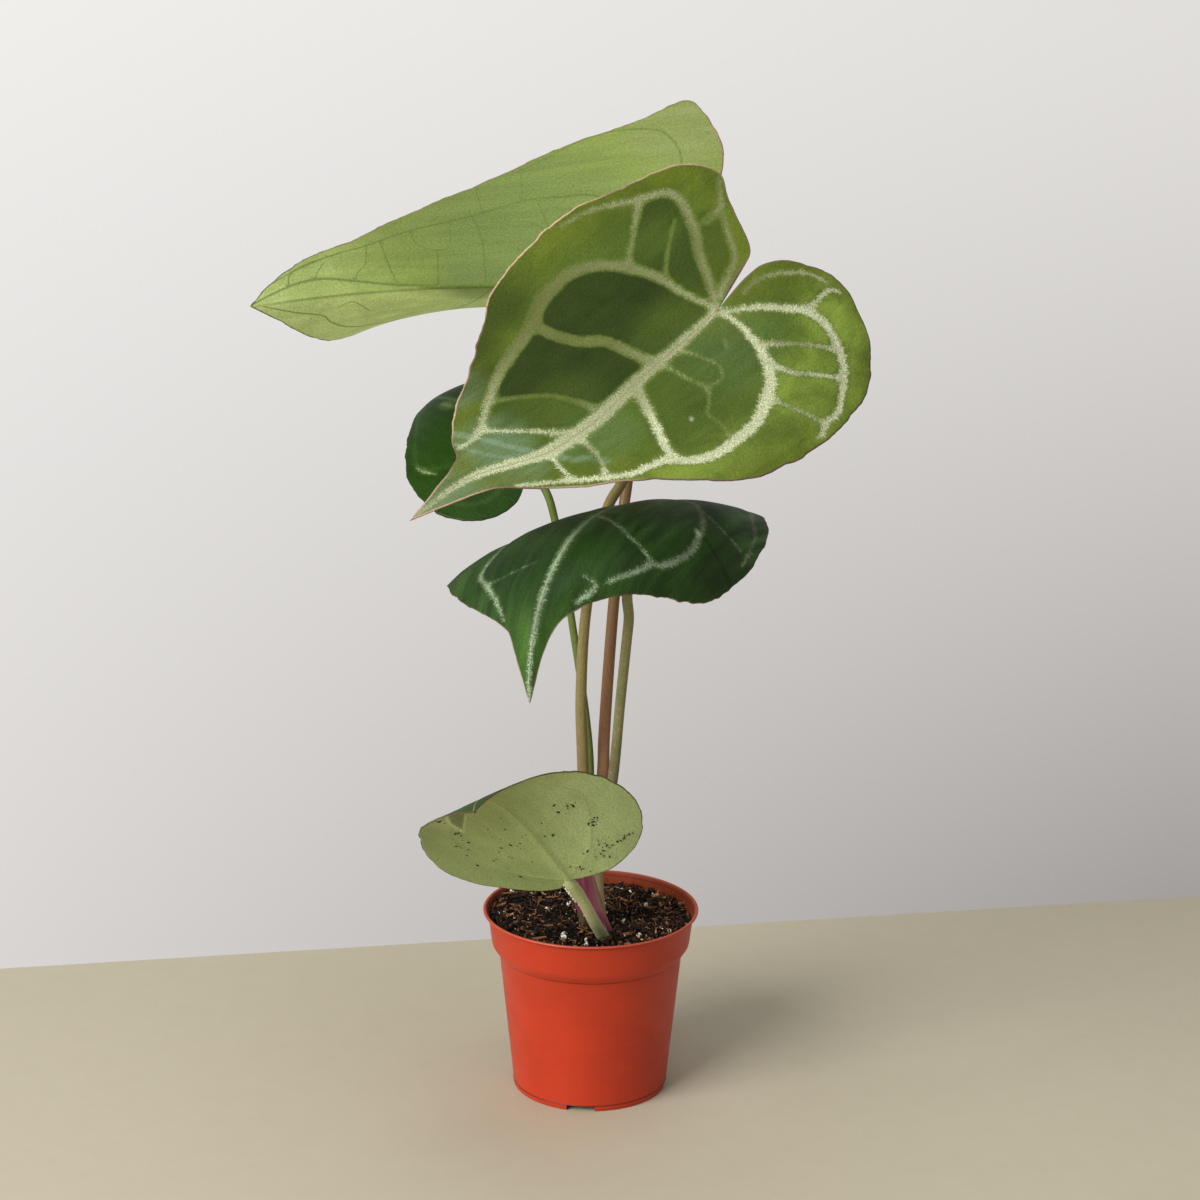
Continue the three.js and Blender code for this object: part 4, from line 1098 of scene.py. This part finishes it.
dress_leaf(
    front, "leaf_velvet",
    {"body": (0.080, 0.130, 0.019), "darker_and_shaded": (0.022, 0.038, 0.007), "outer": (0.108, 0.145, 0.015),
     "paler_and_lit": (0.240, 0.335, 0.052), "glow": (0.115, 0.158, 0.034), "vein": (0.70, 0.74, 0.49),
     "dull": (0.120, 0.122, 0.040), "painted_sheen": (0.185, 0.270, 0.165), "line": (0.26, 0.21, 0.11),
     "rim": (0.56, 0.36, 0.27), "cover": 0.95, "net": 0.0, "roughness": 0.68},
    {"body": (0.27, 0.34, 0.10), "darker_and_shaded": (0.25, 0.32, 0.10), "outer": (0.30, 0.37, 0.11),
     "paler_and_lit": (0.28, 0.35, 0.10), "glow": (0.26, 0.33, 0.10), "vein": (0.16, 0.24, 0.06),
     "dull": (0.16, 0.24, 0.06), "painted_sheen": (0.30, 0.36, 0.14), "line": (0.20, 0.28, 0.09),
     "rim": (0.42, 0.22, 0.13), "cover": 0.8, "net": 0.2, "roughness": 0.5},
    feather=1.25, rim_width=0.95, specular=0.07, pleats=0.06,
)
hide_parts("blade_front")


# ---- back blade ---------------------------------------------------------------------------------
# A leaf folded along its midrib like a book, which shows its pale underside.  The net of veins
# stands out in darker green, and the upper margin has a thin brown-pink rim.

back_blade = {
    "at": (31.2, 33.4, 444.4), "heading": 178, "rise": 4, "roll": 83, "length": 229, "back": -49,
    "bend": (-8, 66, 74), "yaw": (-7, -11, 20), "twist": (13, -2, -10),
    "left": {
        "fold": (3, 103, 38), "curl": (25, -37, 2),
        "outline": [
            (0, 0), (-8, 8), (-18, 24), (-26, 44), (-30, 64), (-29, 82), (-18, 101), (-8, 110), (12, 103),
            (48, 94), (78, 79), (104, 66), (128, 52), (154, 37), (182, 25), (206, 13), (229, 0),
        ],
    },
    "right": {
        "fold": (-2, 100, -21), "curl": (38, 104, 45),
        "outline": [
            (0, 0), (-8, -8), (-18, -24), (-26, -44), (-30, -64), (-27, -84), (-16, -100), (0, -108),
            (22, -106), (48, -100), (74, -92), (100, -82), (124, -69), (148, -52), (174, -33), (202, -14),
            (229, 0),
        ],
    },
}
back_veins = [
    ((1.1, 1.1, 1.0, 0.8, 0.4), (1.0, 1.0), [(0, 2), (30, 1), (60, 0), (87, 0), (115, 0), (139, 3),
        (156, 7), (175, 11), (190, 10), (203, 7), (229, 0)]),
    ((0.9, 0.7, 0.6, 0.3), (0.9, 0.7), [(2, 6), (15, 42), (32, 58), (49, 60), (66, 60), (92, 52), (121, 44),
        (147, 33), (163, 28), (208, 11)]),
    ((0.8, 0.6, 0.4), (0.8, 0.6), [(-1, 4), (-10, 40), (-9, 75), (-1, 90), (7, 95), (23, 98), (39, 96),
        (67, 81)]),
    ((0.8, 0.6, 0.5, 0.3), (0.8, 0.6), [(1, -4), (8, -40), (40, -62), (80, -58), (120, -44), (155, -30),
        (173, -18), (180, -12), (202, -6), (220, -1)]),
    ((0.5, 0.4), (0.6, 0.5), [(137, 2), (138, 12), (138, 22), (138, 37)]),
    ((0.5, 0.4), (0.6, 0.5), [(116, 0), (113, 15), (111, 28)]),
    ((0.4, 0.3), (0.5, 0.4), [(121, 44), (121, 34), (116, 30), (111, 28), (107, 29), (104, 32), (102, 48)]),
    ((0.6, 0.4), (0.6, 0.5), [(90, 0), (88, 28), (89, 41), (91, 52)]),
    ((0.5, 0.4), (0.5, 0.4), [(86, 54), (87, 65), (88, 74)]),
    ((0.4, 0.4), (0.5, 0.4), [(67, 60), (67, 72), (67, 82)]),
    ((0.4, 0.4), (0.5, 0.4), [(88, 43), (79, 46), (73, 46), (66, 45), (58, 40)]),
    ((0.4, 0.3), (0.5, 0.4), [(199, 8), (195, 15), (184, 21), (162, 28)]),
    ((0.3, 0.3), (0.4, 0.4), [(170, -8), (162, -6), (150, -16)]),
    ((0.4, 0.3), (0.4, 0.4), [(160, 7), (156, 14), (150, 20), (146, 32)]),
    ((0.3, 0.3), (0.4, 0.4), [(182, 11), (177, 17), (172, 22)]),
    ((0.5, 0.4), (0.6, 0.5), [(40, 1), (48, 22), (55, 40), (60, 58)]),
    ((0.5, 0.4), (0.6, 0.5), [(40, 0), (48, -24), (60, -52)]),
    ((0.5, 0.4), (0.6, 0.5), [(86, 0), (96, -24), (108, -46)]),
]
# Painted shade where the front leaf's edge shades the blade, painted sheen, and a lighter tip and lower flap
# that glow as painted light shining through the leaf.
back_patches = {
    "darker_and_shaded": [(66, 44, 60, 56, 0.85), (92, 8, 24, 24, 1.0)],
    "painted_sheen": [(-10, 92, 30, 24, 0.8), (30, 60, 16, 12, 0.3)],
    "paler_and_lit": [
        (232, 0, 84, 90, 0.5), (236, 0, 46, 50, 0.75),
        ([(-60, -1), (120, -0.5), (229, 0), (229, -60), (60, -140), (-60, -140)], 0.9),
    ],
    "pale_rim_and_highlight": [(80, 80, 190, 60, 0.8)],
}
back = blade_piece("leaf_back", back_blade, back_veins, back_patches, rows=256, columns=84, ripple=0.12,
                   webbing=0.5, ribbing=0.25)
dress_leaf(
    back, "leaf_pale_underside",
    {"body": (0.09, 0.15, 0.025), "darker_and_shaded": (0.05, 0.09, 0.015), "outer": (0.12, 0.19, 0.03),
     "paler_and_lit": (0.09, 0.15, 0.025), "glow": (0.12, 0.18, 0.03), "vein": (0.45, 0.50, 0.28),
     "dull": (0.25, 0.30, 0.12), "painted_sheen": (0.15, 0.2, 0.06), "line": (0.5, 0.55, 0.32),
     "rim": (0.36, 0.19, 0.11), "cover": 0.9, "net": 0.0, "roughness": 0.5},
    {"body": (0.192, 0.262, 0.050), "darker_and_shaded": (0.138, 0.195, 0.052), "outer": (0.188, 0.243, 0.053),
     "paler_and_lit": (0.50, 0.60, 0.22), "glow": (0.170, 0.235, 0.045), "vein": (0.060, 0.110, 0.020),
     "dull": (0.11, 0.17, 0.033), "painted_sheen": (0.19, 0.225, 0.085), "line": (0.10, 0.17, 0.03),
     "rim": (0.30, 0.16, 0.10), "cover": 0.7, "net": 0.02, "roughness": 0.55},
    through=0.42, pleats=0.08, crisp=True,
)
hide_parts("blade_back")


# ---- middle blade -------------------------------------------------------------------------------
# A dark leaf that twists below the front one.  Its veins are grey-green and feathered, and a tear
# runs in from the margin.

middle_blade = {
    "at": (24.2, -79.8, 352.9), "heading": 240, "rise": 13, "roll": 25, "length": 174, "back": -60,
    "bend": (4, 93, 126), "yaw": (-8, -11, 14), "twist": (-28, -64, 39),
    "left": {
        "fold": (-7, 16, -58), "curl": (-82, -141, 5),
        "outline": [
            (0, 0), (-18, 4), (-40, 12), (-55, 25), (-58, 39), (-44, 54), (-20, 70), (0, 78), (28, 80),
            (56, 72), (80, 55), (98, 38), (116, 22), (130, 12), (148, 6.5), (163, 3.5), (174, 0),
        ],
    },
    "right": {
        "fold": (6, 11, -19), "curl": (-52, -37, -11),
        "outline": [
            (0, 0), (-12, -5), (-30, -20), (-38, -45), (-30, -70), (-10, -88), (20, -96), (48, -93),
            (68, -85), (84, -78), (100, -67), (114, -52), (127, -33), (137, -17), (150, -10), (164, -4),
            (174, 0),
        ],
    },
}
middle_veins = [
    ((0.6, 1.2, 1.2, 0.9, 0.5), (0.3, 0.4, 0.5, 0.75, 0.9), [(0, 0), (25, 0), (50, 0), (80, 0), (110, 0),
        (140, 0), (174, 0)]),
    ((0.7, 1.3, 1.4, 1.1, 0.4), (0.5, 0.6, 0.7, 0.8, 0.8), [(0, 2), (-9, 21), (0, 34), (11, 43), (23, 48),
        (36, 51), (51, 50), (63, 46), (69, 41), (80, 37), (92, 30), (98, 26.5)]),
    ((0.2, 0.9, 0.8, 0.2), (0.8, 0.9, 0.8), [(103.6, 22.8), (109, 21), (113, 18.5), (118, 16)]),
    ((0.6, 0.9, 0.9, 0.9, 0.2), (0.3, 0.4, 0.6, 0.9, 0.7), [(0, -2), (4, -20), (16, -40), (40, -50),
        (66, -46), (79, -45), (91, -46), (99, -45), (109, -36), (116, -30), (123, -25), (131, -20)]),
    ((0.8, 1.0, 0.7, 0.3), (0.6, 0.7), [(-4, 2), (-26, 16), (-51, 34), (-35, 48), (-27, 56), (-20, 62),
        (0, 72)]),
    ((0.8, 1.0, 0.7, 0.3), (0.4, 0.5), [(-2, -3), (-18, -22), (-24, -46), (-14, -70), (12, -84),
        (40, -84)]),
    ((0.5, 0.3, 0.6), (0.7, 0.9), [(50, 0), (56, 13), (62, 24), (65, 33), (68, 40)]),
    ((0.5, 0.1, 0.2), (0.6, 0.6), [(0, 34), (2, 50), (-3, 66)]),
    ((0.3, -0.7, -0.4), (0.5, 0.2), [(107, -37), (104, -27), (97, -11)]),
    ((0.6, 0.0, 0.3), (0.4, 0.5), [(30, 0), (34, -22), (42, -48)]),
    ((0.3, 0.2), (0.7, 0.7), [(109, 21), (103, 22), (101, 15)]),
]
# Painted shade in a fold beside the tear and in the tear itself, painted sheen on the crests, and a lighter tip.
middle_patches = {
    "darker_and_shaded": [(30, -24, 40, 30, 0.7), (24, 66, 12, 14, 0.7), (70, 26, 26, 18, 0.8), (104, -18, 26, 30, 1.0)],
    "painted_sheen": [(20, 22, 40, 22, 0.4), (-25, 56, 22, 24, 0.8), (124, -38, 16, 12, 0.12)],
    "paler_and_lit": [(150, 0, 30, 20, 0.8)],
    "tear_shade": [([(22, 49), (21, 58), (19, 70), (14, 77)], 1.2, 1.0)],
    "fray": [(22, 46.5, 1.8, 2.6, 1.0)],
    "pale_rim_and_highlight": [(140, 0, 40, 30, 0.5), (60, 70, 60, 20, 0.4)],
}
middle = blade_piece("leaf_middle", middle_blade, middle_veins, middle_patches, rows=208, columns=64, ripple=0.9,
                     webbing=0.7)
dress_leaf(
    middle, "leaf_dark",
    {"body": (0.024, 0.062, 0.010), "darker_and_shaded": (0.018, 0.043, 0.010), "outer": (0.026, 0.066, 0.010),
     "paler_and_lit": (0.045, 0.105, 0.015), "glow": (0.036, 0.075, 0.022), "vein": (0.40, 0.50, 0.32),
     "dull": (0.11, 0.15, 0.075), "painted_sheen": (0.090, 0.190, 0.056), "line": (0.34, 0.42, 0.27),
     "rim": (0.40, 0.28, 0.19), "cover": 0.9, "net": 0.0, "roughness": 0.44},
    {"body": (0.15, 0.22, 0.07), "darker_and_shaded": (0.13, 0.20, 0.06), "outer": (0.17, 0.25, 0.08),
     "paler_and_lit": (0.17, 0.25, 0.08), "glow": (0.15, 0.22, 0.07), "vein": (0.10, 0.16, 0.04),
     "dull": (0.10, 0.16, 0.04), "painted_sheen": (0.17, 0.25, 0.08), "line": (0.12, 0.18, 0.05),
     "rim": (0.34, 0.20, 0.13), "cover": 0.8, "net": 0.2, "roughness": 0.5},
    feather=1.3, specular=0.14, pleats=0.28,
)
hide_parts("blade_middle")


# ---- small blade --------------------------------------------------------------------------------
# A young leaf behind the others, glossy and deep green, with plain pale veins.

small_blade = {
    "at": (-43.1, 24, 361.7), "heading": 136, "rise": 29, "roll": -29, "length": 116, "back": -39,
    "bend": (28, 73, 100), "yaw": (6, -8, 1), "twist": (3, 14, -8),
    "left": {
        "fold": (-7, -14, -15), "curl": (7, -9, 3),
        "outline": [
            (0, 0), (-13, 3), (-20, 8), (-27, 16), (-30, 26), (-28, 37), (-23, 46), (-15, 53), (-3, 58),
            (12, 58), (28, 55), (44, 47), (60, 36), (75, 24), (89, 14), (104, 5), (116, 0),
        ],
    },
    "right": {
        "fold": (-6, -5, 7), "curl": (13, -20, -22),
        "outline": [
            (0, 0), (-15, -3), (-24, -7), (-32, -15), (-35, -24), (-34, -35), (-27, -44), (-17, -50),
            (-3, -54), (12, -55), (28, -52), (44, -45), (60, -34), (75, -23), (89, -13), (104, -5),
            (116, 0),
        ],
    },
}
small_veins = [
    ((0.6, 0.9, 0.4), (0.3, 0.3), [(0, 0), (30, 0), (60, 0), (90, 0), (116, 0)]),
    ((0.3, 0.4, 0.2), (0.05, 0.05), [(0, 2), (3, 20), (16, 34), (30, 45), (44, 40), (58, 30), (82, 14)]),
    ((0.3, 0.4, 0.2), (0.05, 0.05), [(0, -2), (3, -20), (16, -32), (36, -34), (58, -26), (82, -12)]),
    ((0.3, 0.4, 0.2), (0.05, 0.05), [(0, 2), (-12, 14), (-18, 30), (-10, 44), (8, 51)]),
    ((0.3, 0.4, 0.2), (0.05, 0.05), [(0, -2), (-14, -14), (-22, -28), (-14, -42), (6, -49)]),
    ((0.1, 0.9, 0.1), (1.0, 1.0), [(32, 46), (27, 45.5), (23, 44.5), (18, 42)]),
]
# A spot of painted sheen, where the glossy blade catches the light.
small_patches = {
    "darker_and_shaded": [(20, 0, 70, 70, 0.6)],
    "painted_sheen": [(59, 5, 7, 4, 0.55)],
    "paler_and_lit": [(40, 30, 24, 16, 0.25)],
}
small = blade_piece("leaf_small", small_blade, small_veins, small_patches, rows=128, columns=40, ripple=0.3,
                    webbing=0.8)
dress_leaf(
    small, "leaf_young",
    {"body": (0.015, 0.049, 0.003), "darker_and_shaded": (0.011, 0.037, 0.002), "outer": (0.017, 0.052, 0.003),
     "paler_and_lit": (0.04, 0.1, 0.012), "glow": (0.022, 0.056, 0.007), "vein": (0.30, 0.42, 0.18),
     "dull": (0.024, 0.060, 0.008), "painted_sheen": (0.16, 0.22, 0.08), "line": (0.04, 0.08, 0.02),
     "rim": (0.10, 0.13, 0.04), "cover": 0.8, "net": 0.0, "roughness": 0.36},
    {"body": (0.14, 0.22, 0.06), "darker_and_shaded": (0.12, 0.20, 0.05), "outer": (0.16, 0.24, 0.07),
     "paler_and_lit": (0.16, 0.24, 0.07), "glow": (0.14, 0.22, 0.06), "vein": (0.09, 0.15, 0.03),
     "dull": (0.09, 0.15, 0.03), "painted_sheen": (0.16, 0.24, 0.07), "line": (0.1, 0.16, 0.04),
     "rim": (0.20, 0.16, 0.07), "cover": 0.8, "net": 0.2, "roughness": 0.5},
    feather=0.8, specular=0.13, pleats=0.12,
)
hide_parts("blade_small")


# ---- low blade ----------------------------------------------------------------------------------
# The oldest leaf hangs from a short stalk with its sage-green underside showing.  Its tip is
# folded back, and grit from the pot sticks to it.

low_blade = {
    "at": (-12.7, -73.2, 148.1), "heading": 230, "rise": 50, "roll": 32, "length": 131, "back": -18,
    "bend": (-24, 24, 180), "yaw": (1, -18, 5), "twist": (23, 33, 1),
    "left": {
        "fold": (0, 5, -13), "curl": (71, -11, 7),
        "outline": [
            (0, 0), (-2, 6), (-4, 14), (-6, 24), (-5, 34), (-2, 44), (8, 52), (22, 55), (38, 54), (56, 50),
            (74, 42), (88, 33), (98, 24), (108, 15), (117, 9), (125, 4), (131, 0),
        ],
    },
    "right": {
        "fold": (21, 17, 0), "curl": (-9, 18, 10),
        "outline": [
            (0, 0), (-8, -6), (-13, -14), (-17, -28), (-16, -45), (-12, -60), (-4, -70), (10, -76),
            (34, -71), (56, -60), (74, -49), (86, -38), (98, -28), (108, -19), (117, -11), (125, -5),
            (131, 0),
        ],
    },
}
low_veins = [
    ((0.9, 0.6, 0.45, 0.3), (0.9, 0.8, 0.6), [(0, 1), (30, 0), (60, 0), (90, 0), (131, 0)]),
    ((0.6, 0.6, 0.4, 0.2), (0.7, 0.5, 0.2), [(3, 3), (7, 11), (14, 20), (24, 26), (41, 33), (55, 35),
        (74, 28)]),
    ((0.6, 0.5, 0.2), (0.5, 0.35, 0.2), [(0, -2), (2, -22), (16, -42), (44, -46), (70, -34), (94, -16)]),
    ((0.4, 0.2), (0.3, 0.1), [(24, 0), (34, -20), (48, -44)]),
    ((0.4, 0.2), (0.3, 0.1), [(40, 0), (48, 16), (56, 34)]),
]
# Painted shade where the blade lies in shade and painted light where light falls on it, painted sheen, and
# painted shade in the tear.
low_patches = {
    "darker_and_shaded": [(40, -60, 70, 26, 0.6), (0, -26, 20, 24, 0.7)],
    "painted_sheen": [(90, -20, 30, 24, 0.3)],
    "paler_and_lit": [(30, 40, 70, 36, 1.0), (90, -34, 26, 12, 0.8)],
    "tear_shade": [([(100, -22), (74, -31), (57.5, -32.5), (76, -21.5), (102, -8)], 0.8)],
    "fray": [
        ([(96, -23), (74, -31), (57.5, -32.5)], 0.75, 0.75),
        ([(57.5, -32.5), (76, -21.5), (100, -10)], 0.6, 0.5),
    ],
    "pale_rim_and_highlight": [(60, 0, 90, 90, 0.5)],
}
low = blade_piece("leaf_low", low_blade, low_veins, low_patches, rows=160, columns=48, ripple=0.4, webbing=0.6)
dress_leaf(
    low, "leaf_sage",
    {"body": (0.035, 0.080, 0.018), "darker_and_shaded": (0.02, 0.05, 0.012), "outer": (0.04, 0.085, 0.02),
     "paler_and_lit": (0.045, 0.085, 0.020), "glow": (0.05, 0.09, 0.02), "vein": (0.25, 0.30, 0.15),
     "dull": (0.15, 0.2, 0.08), "painted_sheen": (0.07, 0.12, 0.04), "line": (0.3, 0.35, 0.2),
     "rim": (0.20, 0.12, 0.07), "cover": 0.8, "net": 0.0, "roughness": 0.5},
    {"body": (0.325, 0.415, 0.155), "darker_and_shaded": (0.235, 0.305, 0.115), "outer": (0.31, 0.40, 0.150),
     "paler_and_lit": (0.48, 0.59, 0.265), "glow": (0.31, 0.39, 0.150), "vein": (0.46, 0.53, 0.22),
     "dull": (0.30, 0.38, 0.14), "painted_sheen": (0.31, 0.36, 0.16), "line": (0.48, 0.49, 0.20),
     "rim": (0.16, 0.15, 0.06), "cover": 0.7, "net": 0.05, "roughness": 0.55},
    rim_width=0.7, pleats=0.05, crisp=True,
)
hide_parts("blade_low")


# ---- grit ---------------------------------------------------------------------------------------
# Dark crumbs of potting mix that were splashed up and dried onto the underside of the low leaf.
# They lie in loose clusters on the sheet.

grit_clusters = [
    (31, 31, 4, 22), (10, 26, 8, 40), (37, 9, 1.2, 4), (57, -37, 4, 10), (40, -46, 7, 8), (87, -30, 6, 10),
    (82, -13, 1.5, 3), (50, 26, 5, 10), (8, 38, 6, 12), (44, -18, 14, 10), (0, -32, 9, 8), (6, 8, 5, 8),
    (24, -30, 26, 18), (50, 6, 24, 14),
]
grit_lift = 0.5
big_grit = 0.84
crumb_count = 34
crumb_steps = 60

bm = bmesh.new()
frames = midrib_frames(low_blade)
for at_a, at_b, spread, number in grit_clusters:
    for i in range(number):
        a, b = (np.array([chance.gauss(at, spread / 2)]) for at in (at_a, at_b))
        spot = Vector(lay(low_blade, frames, a, b)[0])
        run, cross = (Vector(step[0]) for step in slopes(low_blade, frames, a, b))
        out = -run.cross(cross).normalized()
        size = chance.uniform(0.16, 0.46) if chance.random() < big_grit else chance.uniform(0.5, 0.9)
        upright = out.to_track_quat("Z", "Y").to_matrix().to_4x4()
        lie = Matrix.Translation((spot + out * grit_lift) * MM) @ upright
        lie = lie @ Matrix.Rotation(chance.uniform(0, math.tau), 4, "Z")
        add_crumb(bm, size * MM, lie @ Matrix.Diagonal((chance.uniform(1, 2), 0.7, 0.5, 1)), 1, 1700, 0.5)
grit = add_piece("leaf_grit", bm)

finish, tree = new_finish("grit_crumbs", 0.85, 0.2)
lumps = grain(tree, object_place(tree), 1500, 3)
base = blend(tree, ramp(tree, lumps, 0.35, 0.7), (0.012, 0.008, 0.005), (0.085, 0.048, 0.022))
dress(grit, finish, base, lumps, 0.0003)

# White crumbs cling to the short stalk of the same leaf, most of them just below the joint.
bm = bmesh.new()
centres = smooth_path(petioles["low"]["points"], crumb_steps)[0]
for i in range(crumb_count):
    k = chance.choice((chance.randint(45, 57), chance.randint(52, 56), chance.randint(14, 57)))
    ahead = Vector(centres[k + 1] - centres[k - 1]).normalized()
    side = ahead.cross((0, 1, -0.3)).normalized()
    turn = chance.gauss(0.05, 0.25)
    out = side * math.cos(turn) - side.cross(ahead) * math.sin(turn)
    size = chance.uniform(0.3, 0.9) if k > 44 else chance.uniform(0.15, 0.35)
    lie = Matrix.Translation((Vector(centres[k]) + out * (3.1 + 0.7 * size)) * MM)
    add_crumb(bm, size * MM, lie @ Matrix.Diagonal((0.7, chance.uniform(0.7, 1.2), 1, 1)), 1, 1500, 0.6)
stalk_crumbs = add_piece("stalk_crumbs", bm)
stalk_crumbs.data.materials.append(white_bits)


# ---- stage --------------------------------------------------------------------------------------
# A plain sand-coloured table in front of a pale backdrop, lit by one large soft lamp high on the left
# and the light of the room.  The backdrop is painted with shade, darker towards its right and lower
# down.

bm = bmesh.new()
for x, y in ((-3000, -313), (3200, 793), (3200, -2600), (-3000, -2600)):
    bm.verts.new(Vector((x, y, 0)) * MM)
bmesh.ops.contextual_create(bm, geom=bm.verts[:])
bmesh.ops.recalc_face_normals(bm, faces=bm.faces)
mesh = bpy.data.meshes.new("table")
bm.to_mesh(mesh)
bm.free()
table = bpy.data.objects.new("table", mesh)
bpy.context.collection.objects.link(table)
finish, tree = new_finish("table_top", 0.6, 0.2)
sand = blend(tree, grain(tree, object_place(tree), 60, 4), (0.50, 0.455, 0.345), (0.54, 0.49, 0.375))
tree.links.new(sand, tree.nodes["Principled BSDF"].inputs["Base Color"])
table.data.materials.append(finish)

room = bpy.data.worlds.new("room")
room.use_nodes = True
tree = room.node_tree
ground = tree.nodes["Background"]
ground.inputs["Color"].default_value = (0.90, 0.89, 0.87, 1)
ground.inputs["Strength"].default_value = 0.36
# Painted shade on the backdrop, which only the view sees: it darkens towards the right and lower down.
sight = add(tree, "ShaderNodeSeparateXYZ", {0: add(tree, "ShaderNodeTexCoord").outputs["Generated"]}).outputs
below = ramp(tree, sight[2], -0.06, -0.37, smooth=False)
left_wall = blend(tree, below, (0.87, 0.86, 0.84), (0.69, 0.665, 0.65))
right_wall = blend(tree, maths(tree, "POWER", below, 1.3), (0.75, 0.73, 0.71), (0.33, 0.31, 0.295))
wall = blend(tree, ramp(tree, sight[0], -0.2, 0.2, smooth=False), left_wall, right_wall)
backdrop = add(tree, "ShaderNodeBackground", {0: wall, 1: 1.0})
seen = add(tree, "ShaderNodeMixShader", {
    0: add(tree, "ShaderNodeLightPath").outputs["Is Camera Ray"], 1: ground.outputs[0], 2: backdrop.outputs[0],
})
tree.links.new(seen.outputs[0], tree.nodes["World Output"].inputs["Surface"])
bpy.context.scene.world = room

for name, spot, size, power, tint in (
    ("lamp_key", (-1.7, -1.7, 1.5), 1.7, 88, (1.0, 0.975, 0.94)),
    ("lamp_top", (0.2, -0.2, 2.4), 1.4, 14, (1.0, 1.0, 1.0)),
):
    light = bpy.data.lights.new(name, "AREA")
    light.size = size
    light.energy = power
    light.color = tint
    lamp = bpy.data.objects.new(name, light)
    lamp.location = spot
    lamp.rotation_euler = (Vector((0, 0, 0.25)) - Vector(spot)).to_track_quat("-Z", "Y").to_euler()
    bpy.context.collection.objects.link(lamp)
